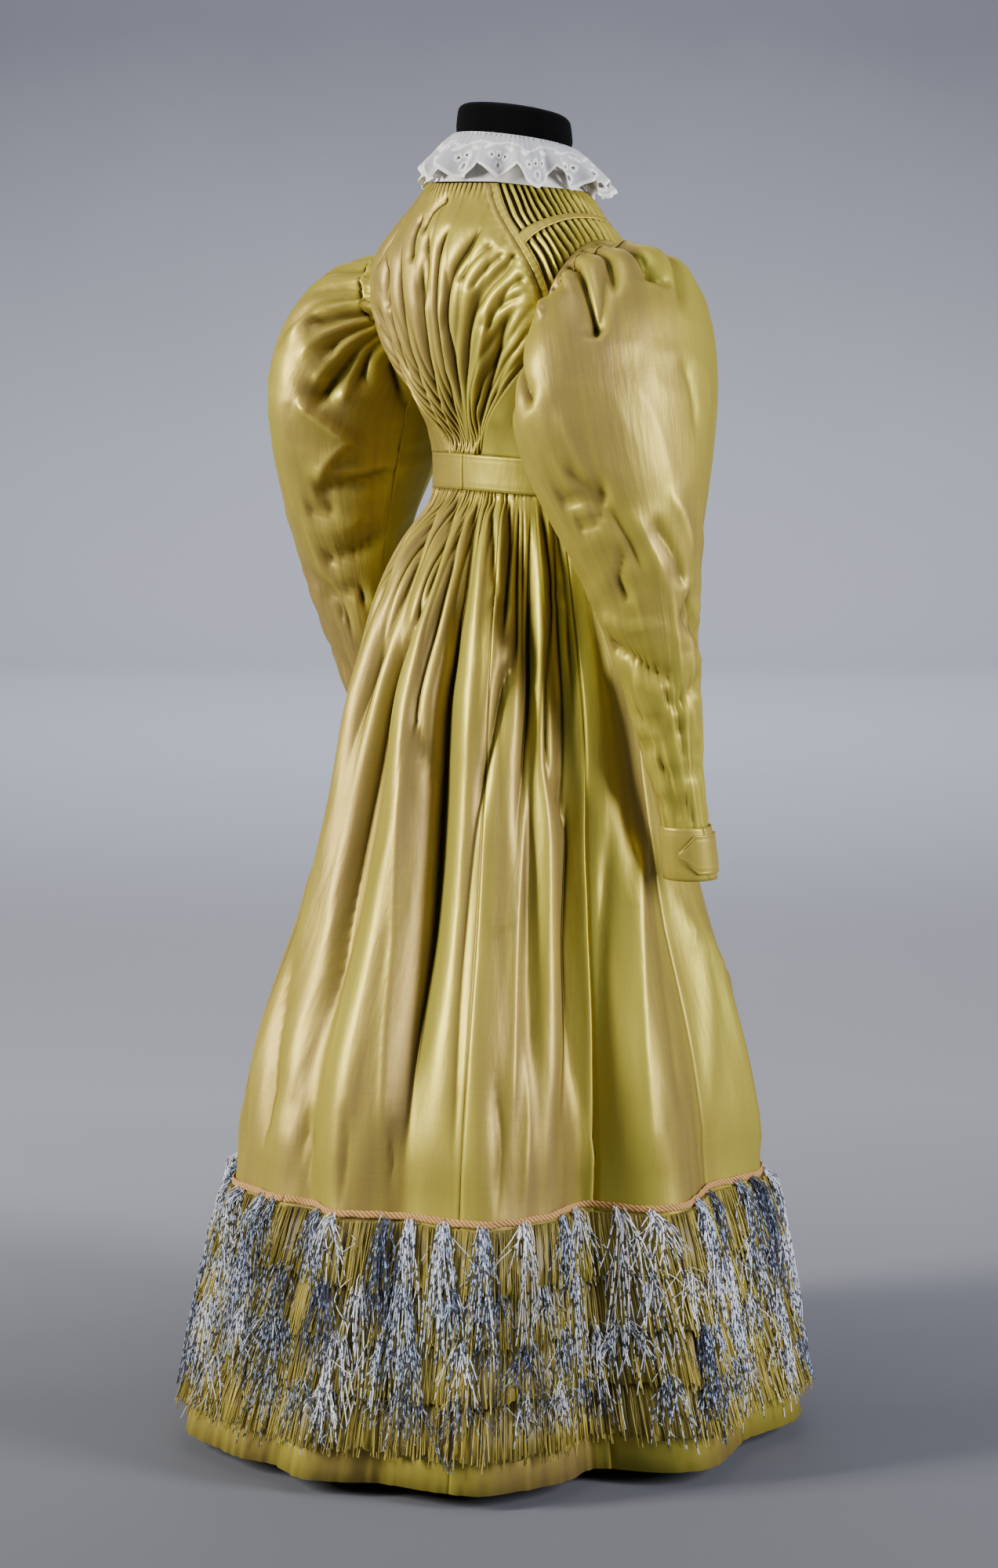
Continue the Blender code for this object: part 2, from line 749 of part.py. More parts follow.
def hanging_locks(name, top, height, stops, chosen, thread):
    """A narrow strip round the skirt, with locks of threads that hang from chosen spans of its lower edge."""
    bm = bmesh.new()
    turns = trim_turns()
    count = len(turns)
    foot = top - height
    corners = ((top, TRIM_STAND), (foot, TRIM_STAND + LOCK_THICK), (foot, TRIM_STAND))
    loops = [[bm.verts.new(trim_point(t, z, out)) for t in turns] for z, out in corners]
    for near, far in ((loops[0], loops[1]), (loops[2], loops[0])):
        for i in range(count):
            j = (i + 1) % count
            bm.faces.new((near[i], near[j], far[j], far[i]))
    for i in range(count):
        j = (i + 1) % count
        ring = [loops[1][i], loops[1][j], loops[2][j], loops[2][i]]
        if chosen(i):
            width = (turns[j] - turns[i]) % 360
            uneven = 0.90 + 0.15 * ((i * 7) % 5) / 4
            for stop in stops:
                z = foot - stop.drop * (uneven if stop is stops[-1] else 1.0)
                near, far = TRIM_STAND + stop.out, TRIM_STAND + stop.out + LOCK_THICK
                spots = ((0.15, far), (0.85, far), (0.85, near), (0.15, near))
                lower = [bm.verts.new(trim_point(turns[i] + width * s, z, o)) for s, o in spots]
                for k in range(4):
                    m = (k + 1) % 4
                    bm.faces.new((ring[k], ring[m], lower[m], lower[k]))
                ring = lower
        bm.faces.new(ring)
    return add_object(name, bm, thread, smooth_faces=False)


def fringe(tape, thread):
    """The tape with its tufts of knop yarn, and under it the rows of green threads."""

    def tufted(i):
        return i % TUFT_EVERY == 0

    hanging_locks(
        "fringe_braid",
        TRIM_TOP_Z - 0.0004,
        BRAID_HEIGHT,
        TUFT_STOPS,
        tufted,
        tape,
    )
    for k in range(FRINGE_ROWS):
        hanging_locks(
            f"fringe_row_{k + 1}",
            TRIM_Z - k * ROW_DROP,
            HEADING_HEIGHT,
            LOCK_STOPS,
            lambda i, k=k: (i + k) % 4 != 0,
            thread,
        )


def form_torso(jersey):
    """The limbless form: hips, waist, chest and a cut-off neck, all one smooth covered body."""
    clearances = [
        (1.060, 0.0026),
        (1.105, 0.0030),
        (1.120, 0.0045),
        (1.150, 0.0072),
        (1.360, 0.0072),
        (1.400, 0.0055),
        (1.440, 0.0030),
        (1.470, 0.0026),
    ]
    hips = [(HIP_Z, 0.118), (0.900, 0.128), (0.950, 0.126), (1.000, 0.117), (1.045, 0.1115)]
    backs = [(HIP_Z, 0.085), (0.900, 0.096), (0.950, 0.095), (1.000, 0.084), (1.045, 0.0745)]
    low = (HIP_Z, 0.892, 0.930, 0.985, 1.040, 1.073, 1.113, 1.150)
    high = (1.195, 1.245, 1.295, 1.333, 1.366, 1.390, 1.412, 1.440, 1.468, 1.488, 1.497)
    heights = low + high
    bm = bmesh.new()
    loops = []
    for z in heights:
        loop = []
        for i in range(FORM_COLUMNS):
            turn = 360 * i / FORM_COLUMNS
            if z < 1.05:
                section = (between(hips, z) - 0.0018, between(backs, z) - 0.0018, between(backs, z), 2.0)
                r = radius_at(section, turn)
            elif z < 1.475:
                r = radius_at(section_at(BODICE, z), turn) - between(clearances, z)
            else:
                r = 0.0600 if z < 1.49 else 0.0500
            level = z + (waist_shift(turn) if 1.05 < z < 1.12 else 0.0)
            a = math.radians(turn)
            loop.append(bm.verts.new(lean((-r * math.sin(a), r * math.cos(a), level))))
        loops.append(loop)
    for low, high in zip(loops, loops[1:]):
        for i in range(FORM_COLUMNS):
            j = (i + 1) % FORM_COLUMNS
            bm.faces.new((low[i], low[j], high[j], high[i]))
    bm.faces.new(loops[0][::-1])
    bm.faces.new(loops[-1])
    return add_object("form_torso", bm, jersey)


def form_stand(steel):
    """The pole under the torso, and the round base with its socket."""
    bpy.ops.mesh.primitive_cylinder_add(
        vertices=20,
        radius=POLE_RADIUS,
        depth=HIP_Z - SEAM_GAP - BASE_THICK - 0.004,
        location=(0, 0, (HIP_Z - SEAM_GAP + BASE_THICK + 0.004) / 2),
    )
    pole = bpy.context.active_object
    pole.name = "stand_pole"
    pole.data.materials.append(steel)
    profile = (
        (0.0, 0.0),
        (BASE_RADIUS, 0.0),
        (BASE_RADIUS, BASE_THICK * 0.6),
        (BASE_RADIUS - 0.004, BASE_THICK),
        (SOCKET_RADIUS, BASE_THICK),
        (SOCKET_RADIUS, SOCKET_HEIGHT - 0.003),
        (SOCKET_RADIUS - 0.003, SOCKET_HEIGHT),
        (POLE_RADIUS + SEAM_GAP, SOCKET_HEIGHT),
        (POLE_RADIUS + SEAM_GAP, BASE_THICK + 0.003),
        (0.0, BASE_THICK + 0.003),
    )
    bm = bmesh.new()
    verts = [bm.verts.new((r, 0.0, z)) for r, z in profile]
    edges = [bm.edges.new(pair) for pair in zip(verts, verts[1:])]
    bmesh.ops.spin(
        bm, geom=verts + edges, cent=(0, 0, 0), axis=(0, 0, 1), angle=2 * math.pi, steps=24, use_merge=True
    )
    bmesh.ops.remove_doubles(bm, verts=bm.verts, dist=0.00005)
    add_object("stand_base", bm, steel)


def main():
    clear_scene()
    silk = paint("shot taffeta", (0.42, 0.37, 0.09), 0.38)
    linen = paint("white cotton lawn", (0.82, 0.83, 0.84), 0.85)
    thread = paint("green silk fringe", (0.33, 0.27, 0.05), 0.70)
    tape = paint("tan and blue knop tape", (0.48, 0.46, 0.44), 0.70)
    jersey = paint("black cotton jersey", (0.008, 0.008, 0.009), 0.95)
    steel = paint("black enamelled steel", (0.03, 0.03, 0.03), 0.40, 0.6)

    form_torso(jersey)
    form_stand(steel)
    for panel in PANELS:
        skirt_panel(panel, silk)
    waistband(silk)
    bodice_back(silk)
    bodice_front(silk)
    for word, side in (("left", -1), ("right", 1)):
        bodice_side(f"bodice_side_{word}", side, silk)
        edge_strip(f"back_strip_{word}", side, silk)
        shoulder_pleats(f"shoulder_pleats_upper_{word}", side, 0.0, 0.465, silk)
        shoulder_band(f"shoulder_band_{word}", side, 0.476, 0.546, silk)
        shoulder_pleats(f"shoulder_pleats_lower_{word}", side, 0.560, 1.0, silk)
        sleeve(f"sleeve_{word}", -side, silk)
        cuff(f"cuff_{word}", -side, silk)
        cuff_tab(f"cuff_tab_{word}", -side, silk)
    collar_stand(linen)
    collar_frill(linen)
    fringe(tape, thread)


main()
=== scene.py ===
"""The looks of the shot silk dress on its form: cloth shells with their folds, the fringe, the frill, and the light."""

import math
from collections import namedtuple

import bmesh
import bpy
import numpy as np
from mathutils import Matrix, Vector


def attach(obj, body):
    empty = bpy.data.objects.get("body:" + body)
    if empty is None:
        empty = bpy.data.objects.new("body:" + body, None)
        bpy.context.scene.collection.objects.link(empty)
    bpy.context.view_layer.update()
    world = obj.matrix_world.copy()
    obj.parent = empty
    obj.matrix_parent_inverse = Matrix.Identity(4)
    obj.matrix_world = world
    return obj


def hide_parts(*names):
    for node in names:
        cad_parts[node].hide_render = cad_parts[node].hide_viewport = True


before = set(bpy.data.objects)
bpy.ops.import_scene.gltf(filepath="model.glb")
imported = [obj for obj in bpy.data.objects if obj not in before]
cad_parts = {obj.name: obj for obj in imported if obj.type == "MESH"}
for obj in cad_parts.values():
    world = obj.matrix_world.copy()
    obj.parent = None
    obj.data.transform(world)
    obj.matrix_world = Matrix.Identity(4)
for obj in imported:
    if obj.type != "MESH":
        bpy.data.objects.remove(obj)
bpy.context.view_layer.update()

# Sizes that the solids have, in metres
SILK = 0.0012
HEAVY_SILK = 0.0018
LAWN = 0.0009
HEM_Z = 0.018
TRIM_Z = 0.297
TRIM_TOP_Z = 0.3065
WAIST_Z = 1.073
BODICE_Z = 1.113
SHOULDER_SEAM_Z = 1.292
SHOULDER_TOP_Z = 1.3565
FRONT_NECK_Z = 1.405
NECK_Z = 1.419
NECK_DIP = 0.014
COLLAR_Z = 1.464
COLLAR_RADIUS = 0.0690
WAIST_RISE = 0.006
NECK_SLOPE = 0.17
ROW_DROP = 0.058
STRIP_HALF = 0.004
CUFF_X = 0.2560
CUFF_Z = 0.718

# A horizontal section: half its width, and its depth behind and before the axis
Section = namedtuple("Section", "z half_width back front squareness")
BODICE = [
    Section(1.060, 0.1120, 0.0745, 0.0765, 2.0),
    Section(1.113, 0.1120, 0.0750, 0.0775, 2.0),
    Section(1.137, 0.1150, 0.0790, 0.0840, 2.1),
    Section(1.172, 0.1250, 0.0950, 0.1000, 2.2),
    Section(1.210, 0.1400, 0.1110, 0.1160, 2.4),
    Section(1.245, 0.1520, 0.1220, 0.1230, 2.6),
    Section(1.292, 0.1620, 0.1290, 0.1080, 2.8),
    Section(1.333, 0.1580, 0.1270, 0.0880, 2.7),
    Section(1.366, 0.1360, 0.1180, 0.0740, 2.4),
    Section(1.390, 0.1120, 0.1080, 0.0690, 2.2),
    Section(1.419, 0.0850, 0.0940, 0.0680, 2.0),
    Section(1.440, 0.0730, 0.0780, 0.0670, 2.0),
    Section(1.470, 0.0670, 0.0670, 0.0670, 2.0),
]
SKIRT = [
    Section(0.018, 0.332, 0.396, 0.314, 2.0),
    Section(0.3065, 0.277, 0.333, 0.272, 2.0),
    Section(0.375, 0.272, 0.328, 0.268, 2.0),
    Section(0.468, 0.255, 0.304, 0.250, 2.0),
    Section(0.600, 0.220, 0.251, 0.212, 2.0),
    Section(0.745, 0.193, 0.212, 0.175, 2.0),
    Section(0.842, 0.175, 0.192, 0.152, 2.0),
    Section(0.900, 0.160, 0.174, 0.135, 2.0),
    Section(0.944, 0.149, 0.160, 0.122, 2.0),
    Section(0.978, 0.140, 0.145, 0.111, 2.0),
    Section(1.020, 0.128, 0.119, 0.096, 2.0),
    Section(1.055, 0.117, 0.092, 0.083, 2.0),
    Section(1.080, 0.1125, 0.0765, 0.0775, 2.0),
]

# A large fold of the skirt: its turn at three heights, its spread in degrees, and how far it stands out in millimetres
Fold = namedtuple("Fold", "waist middle low spread hip knee trim")
FOLDS = [
    Fold(0, 0, 6, 5.0, -10, -22, -14),
    Fold(13, 13, 14, 5.0, 6, 12, 8),
    Fold(26, 27, 27, 4.5, -9, -20, -9),
    Fold(38, 40, 44, 8.0, 8, 12, 26),
    Fold(57, 54, 52, 3.5, -8, -9, 2),
    Fold(63, 61, 59, 4.0, 6, 11, 2),
    Fold(70, 68, 68, 7.0, -9, -20, -38),
    Fold(84, 84, 86, 9.0, 3, 10, 28),
    Fold(101, 104, 106, 8.0, -3, -7, -12),
    Fold(122, 124, 125, 10.0, 2, 8, 15),
    Fold(144, 144, 146, 10.0, -2, -6, -11),
    Fold(164, 164, 166, 10.0, 2, 6, 11),
    Fold(184, 184, 184, 10.0, -2, -6, -11),
    Fold(206, 204, 203, 10.0, 2, 6, 12),
    Fold(228, 226, 224, 10.0, -2, -7, -12),
    Fold(250, 248, 246, 9.0, 2, 8, 16),
    Fold(268, 268, 268, 8.0, -4, -10, -18),
    Fold(284, 286, 288, 8.0, 6, 10, 18),
    Fold(300, 301, 303, 5.5, -8, -14, -16),
    Fold(314, 314, 315, 6.0, 7, 10, 13),
    Fold(327, 327, 328, 5.0, -6, -10, -10),
    Fold(341, 342, 343, 6.0, 8, 12, 13),
]
FOLD_MIDDLE_Z = 0.62
FOLD_HIP_Z = 0.94

# The skirt's seams: where each lies as cut, and its turn at the waist and at the trimming
Seam = namedtuple("Seam", "cut waist low")
SEAMS = [
    Seam(-180, -180, -180),
    Seam(-102, -98, -104),
    Seam(-76, -78, -71),
    Seam(-40, -42, -39),
    Seam(40, 42, 39),
    Seam(76, 78, 71),
    Seam(102, 98, 104),
    Seam(258, 262, 256),
    Seam(284, 282, 289),
    Seam(320, 318, 321),
]
Panel = namedtuple("Panel", "node first last across down")
PANELS = [
    Panel("skirt_back", -40, 40, 176, 76),
    Panel("skirt_back_right", 40, 76, 80, 76),
    Panel("skirt_side_right", 76, 102, 26, 60),
    Panel("skirt_front", 102, 258, 90, 60),
    Panel("skirt_side_left", 258, 284, 26, 60),
    Panel("skirt_back_left", 284, 320, 80, 76),
]
GATHERED = 76
WAIST_GATHERS = 44

# A crease: places along it, its slopes on the left and the right and its depth in millimetres
# (over 0 it stands up), and the shares of its length in which it begins and ends. The skirt's places are turns and
# heights, the bodice's too, and a sleeve's are angles and rings
Crease = namedtuple("Crease", "places left right depth begin end")
SKIRT_CREASES = [
    Crease((-38, 1.06, -28, 1.014, -17, 0.974, -18, 0.93, -20.5, 0.88, -20.5, 0.826), 6, 8, -7, 0.04, 0.40),
    Crease(
        (-24, 1.068, -8, 1.01, -5, 0.974, -6.5, 0.942, -8.5, 0.906, -10.5, 0.866, -12, 0.814, -13, 0.754),
        8, 12, -13, 0.04, 0.30,
    ),
    Crease(
        (
            -4, 1.068, 7, 1.014, 10, 0.978, 8, 0.946, 2, 0.906,
            -2.5, 0.858, -4.5, 0.758, -5, 0.69, -4, 0.62, 0, 0.54, 9, 0.44,
        ),
        7, 13, -17, 0.04, 0.30,
    ),
    Crease((10, 1.068, 17.5, 1.006, 19, 0.958, 18, 0.918, 16.5, 0.874, 16, 0.826, 17, 0.79), 6, 8, -10, 0.05, 0.30),
    Crease(
        (
            19, 1.068, 25, 1.01, 27.5, 0.966, 26.5, 0.93, 26, 0.894,
            25, 0.85, 25, 0.766, 26, 0.67, 27, 0.586, 27.5, 0.446, 27, 0.35,
        ),
        7, 12, -18, 0.04, 0.30,
    ),
    Crease((33.5, 1.068, 38.5, 1.026, 41.5, 0.986, 43, 0.958), 5, 6, -7, 0.06, 0.30),
    Crease((45.5, 1.07, 47.5, 1.03, 47, 0.986, 46, 0.942, 44.5, 0.918), 6, 8, -12, 0.06, 0.40),
    Crease(
        (52.5, 1.07, 51.5, 0.998, 51, 0.906, 46.5, 0.878, 44.5, 0.854, 42.5, 0.81, 40.5, 0.774, 39, 0.72),
        6, 10, -16, 0.04, 0.20,
    ),
    Crease((41, 0.79, 38.5, 0.714, 37.5, 0.654, 37, 0.562, 37.5, 0.454, 38, 0.342), 8, 16, -7, 0.20, 0.20),
    Crease(
        (59.5, 1.07, 57.5, 0.994, 56.5, 0.926, 56, 0.874, 55, 0.834, 53, 0.782, 51, 0.73, 50.5, 0.666),
        6, 9, -12, 0.04, 0.40,
    ),
    Crease(
        (
            67.5, 1.07, 67.5, 1.022, 68.5, 0.986, 67.5, 0.942, 64.5, 0.902, 62, 0.854, 61, 0.79,
            64, 0.75, 69, 0.722, 69.5, 0.69, 66.5, 0.594, 65, 0.478, 62, 0.406, 58, 0.334,
        ),
        8, 20, -15, 0.03, 0.15,
    ),
    Crease((74, 1.068, 75, 0.98, 74, 0.9, 72, 0.8), 8, 14, -8, 0.05, 0.40),
    Crease((13, 0.842, 17.5, 0.65, 22, 0.446, 23, 0.36), 10, 14, 7, 0.25, 0.20),
    Crease((55.5, 0.826, 51.5, 0.638, 50, 0.5, 49, 0.38), 12, 9, 8, 0.20, 0.25),
    Crease((14.5, 0.854, 18, 0.818, 22.5, 0.774, 25, 0.79), 4, 4, -5, 0.30, 0.15),
    Crease((39, 0.962, 43, 0.954, 45, 0.962), 4, 5, -5, 0.25, 0.25),
    Crease((65.5, 0.97, 71, 0.966, 76, 0.97), 4, 5, -5, 0.20, 0.30),
    Crease((93, 0.72, 86, 0.6, 81, 0.48, 79, 0.34), 9, 26, 12, 0.15, 0.10),
    Crease((82.5, 0.72, 77, 0.594, 73.5, 0.466, 72, 0.354), 12, 10, -11, 0.20, 0.10),
    Crease((100, 0.7, 96, 0.58, 92, 0.48, 90, 0.37), 8, 14, -6, 0.20, 0.20),
    Crease((107.5, 0.634, 114.5, 0.55, 110, 0.45, 106, 0.362), 5, 8, 4, 0.15, 0.20),
    Crease((-20, 0.6, -13, 0.5, -9, 0.42, -8, 0.35), 10, 12, -8, 0.25, 0.15),
    Crease((-12, 0.418, -5, 0.422, 0, 0.414), 5, 6, -6, 0.30, 0.30),
    Crease((-5, 0.4, 2, 0.38, 5, 0.352), 5, 7, -7, 0.30, 0.15),
    Crease((-24, 0.44, -18, 0.4, -14, 0.34), 7, 8, -8, 0.30, 0.10),
    Crease((14, 0.42, 16, 0.37, 15, 0.33), 6, 7, -5, 0.30, 0.10),
    Crease((22, 0.41, 24, 0.37, 25, 0.34), 5, 7, -6, 0.30, 0.10),
    Crease((45, 0.46, 47, 0.39, 46, 0.33), 8, 9, -7, 0.30, 0.10),
    Crease((52, 0.5, 53, 0.41, 52, 0.33), 10, 10, 6, 0.30, 0.10),
    Crease((84, 0.42, 88, 0.36, 92, 0.33), 6, 8, -6, 0.30, 0.15),
    Crease((98, 0.4, 101, 0.36, 102, 0.33), 7, 8, -5, 0.30, 0.10),
    Crease((-30, 1.068, -32, 1, -30, 0.93, -28, 0.86, -27, 0.74), 7, 12, -15, 0.04, 0.30),
    Crease((-38, 1.068, -41, 0.99, -42, 0.9, -40, 0.82), 6, 8, -10, 0.04, 0.30),
    Crease((-47, 1.068, -50, 1, -51, 0.9, -49, 0.8, -47, 0.68), 12, 8, -15, 0.04, 0.30),
    Crease((-56, 1.068, -58, 0.98, -58, 0.9), 6, 8, -9, 0.05, 0.40),
    Crease((-66, 1.068, -67, 1, -66, 0.9, -64, 0.8, -66, 0.7, -68, 0.55), 14, 8, -14, 0.04, 0.30),
    Crease((-36, 0.8, -35, 0.62, -34, 0.45, -34, 0.35), 12, 10, 8, 0.20, 0.15),
    Crease((-44, 0.7, -45, 0.55, -46, 0.38), 10, 12, -8, 0.20, 0.15),
    Crease((107, 0.61, 122, 0.54, 140, 0.47), 8, 14, 5, 0.20, 0.10),
    Crease((118, 0.62, 122, 0.465, 124, 0.31), 14, 18, 8, 0.20, 0.10),
    Crease((134, 0.56, 138, 0.435, 140, 0.31), 12, 12, -7, 0.20, 0.10),
    Crease((156, 0.6, 157, 0.455, 158, 0.31), 14, 10, 6, 0.20, 0.10),
    Crease((172, 0.6, 174, 0.455, 175, 0.31), 12, 16, 7, 0.20, 0.10),
    Crease((196, 0.64, 194, 0.475, 193, 0.31), 12, 12, -7, 0.20, 0.10),
    Crease((216, 0.64, 214, 0.475, 213, 0.31), 16, 10, 7, 0.20, 0.10),
    Crease((238, 0.6, 236, 0.455, 235, 0.31), 12, 16, 8, 0.20, 0.10),
    Crease((262, 0.68, 262, 0.495, 263, 0.31), 16, 8, 7, 0.20, 0.10),
    Crease((276, 0.68, 277, 0.495, 278, 0.31), 12, 12, -8, 0.20, 0.10),
    Crease((292, 0.7, 292, 0.505, 292, 0.31), 9, 20, 8, 0.20, 0.10),
    Crease((308, 0.66, 309, 0.485, 309, 0.31), 12, 12, -8, 0.20, 0.10),
    Crease((322, 0.68, 322, 0.495, 322, 0.31), 20, 9, 8, 0.20, 0.10),
]
BODICE_CREASES = [
    Crease((-26, 1.113, -46, 1.155, -50, 1.2, -52, 1.26), 5, 6, -6, 0.02, 0.40),
    Crease((-24, 1.113, -40, 1.155, -38.5, 1.199, -36, 1.231, -37, 1.267, -36.5, 1.293), 5, 6, -7, 0.02, 0.30),
    Crease(
        (-19, 1.113, -21.5, 1.159, -18, 1.201, -17, 1.237, -17, 1.277, -18, 1.319, -20, 1.361),
        4, 6, -7, 0.02, 0.30,
    ),
    Crease((-14.5, 1.113, -11, 1.153, -5, 1.201, -2, 1.241, -1.5, 1.279, -2, 1.311, 0.5, 1.343), 4, 6, -8, 0.02, 0.30),
    Crease(
        (-9, 1.113, 1, 1.157, 8, 1.215, 8.5, 1.253, 8.5, 1.285, 9.5, 1.317, 11, 1.349, 15.5, 1.373),
        4, 6, -8, 0.02, 0.20,
    ),
    Crease(
        (-3, 1.113, 10, 1.169, 16.5, 1.229, 16, 1.267, 18, 1.299, 21.5, 1.323, 28, 1.345, 36, 1.375),
        4, 7, -9, 0.02, 0.20,
    ),
    Crease(
        (3, 1.113, 15.5, 1.175, 25, 1.223, 28.5, 1.255, 32, 1.279, 36.5, 1.299, 45.5, 1.321, 52, 1.34),
        4, 7, -10, 0.02, 0.20,
    ),
    Crease((8.5, 1.113, 26.5, 1.159, 38.5, 1.207, 43.5, 1.239, 46.5, 1.267, 54, 1.29), 4, 7, -9, 0.02, 0.30),
    Crease((13, 1.113, 32.5, 1.163, 43, 1.205, 50, 1.235), 4, 6, -6, 0.02, 0.40),
    Crease((33.5, 1.279, 39.5, 1.309, 46.5, 1.331, 52, 1.345), 4, 5, -5, 0.20, 0.20),
    Crease((-5.5, 1.361, -2, 1.387, 9.5, 1.403), 4, 6, -4, 0.20, 0.20),
    Crease((-8.5, 1.329, -12, 1.361, -10.5, 1.387), 4, 5, -4, 0.20, 0.30),
    Crease((0, 1.28, 2, 1.33, -2, 1.37), 5, 7, -5, 0.25, 0.30),
    Crease((43, 1.281, 48, 1.305, 55, 1.318), 4, 5, -5, 0.30, 0.20),
    Crease((38.5, 1.255, 43, 1.281, 54, 1.301), 4, 5, -5, 0.20, 0.20),
    Crease((24, 1.31, 32, 1.335, 42, 1.355), 4, 6, -4, 0.20, 0.20),
    Crease((30, 1.3, 38, 1.325, 47, 1.345), 3, 5, -4, 0.20, 0.20),
    Crease((-29.5, 1.277, -30.5, 1.297, -27.5, 1.33), 4, 5, -5, 0.30, 0.30),
    Crease((-26, 1.2, -27, 1.25, -29, 1.31, -35, 1.35), 4, 5, -5, 0.20, 0.30),
    Crease((-44, 1.25, -47, 1.29, -52, 1.32), 4, 5, -5, 0.20, 0.30),
    Crease((-40, 1.32, -36, 1.35, -30, 1.38), 4, 5, -4, 0.30, 0.30),
    Crease((20, 1.17, 32, 1.21, 38, 1.26, 40, 1.29), 5, 5, 4, 0.30, 0.30),
    Crease((6, 1.19, 12, 1.24, 13, 1.3), 6, 5, 4, 0.30, 0.30),
]

# The seam between the back and its neighbours, and the one in front: the turn at each height
BACK_SEAM = [
    (1.113, 22),
    (1.150, 30),
    (1.190, 44),
    (1.220, 54),
    (1.250, 61),
    (1.292, 62),
    (1.333, 57),
    (1.366, 50),
    (1.390, 43),
    (1.425, 34),
]
FRONT_SEAM = [
    (1.113, 140),
    (1.170, 134),
    (1.220, 126),
    (1.250, 120),
    (1.292, 118),
    (1.333, 123),
    (1.366, 130),
    (1.390, 136),
    (1.425, 146),
]
ARMHOLE_TURN = 90
ARMHOLE_SPREAD = 27
ARMHOLE_Z = 1.277
ARMHOLE_RISE = 0.070
SLEEVE_STAND = 0.0034

# A ring of the sleeve: its outer and inner edge, and its middle and half-depth from front to back
Ring = namedtuple("Ring", "outer_x outer_z inner_x inner_z mid_y half_depth")
SLEEVE = [
    Ring(0.184, 1.344, 0.1490, 1.204, 0.008, 0.0840),
    Ring(0.232, 1.334, 0.1500, 1.185, 0.020, 0.1070),
    Ring(0.276, 1.293, 0.1510, 1.160, 0.034, 0.1210),
    Ring(0.306, 1.232, 0.1520, 1.128, 0.043, 0.1240),
    Ring(0.319, 1.150, 0.1590, 1.085, 0.046, 0.1100),
    Ring(0.321, 1.060, 0.1830, 1.018, 0.041, 0.0790),
    Ring(0.314, 0.975, 0.2050, 0.945, 0.028, 0.0550),
    Ring(0.304, 0.890, 0.2165, 0.872, 0.010, 0.0410),
    Ring(0.291, 0.800, 0.2255, 0.792, -0.011, 0.0315),
    Ring(0.2815, 0.712, 0.2305, 0.710, -0.032, 0.0245),
]
CAP_REACH = 112
# How much closer the sleeve's places stand where its folds are sharp, in degrees
CROWDING = 24.0

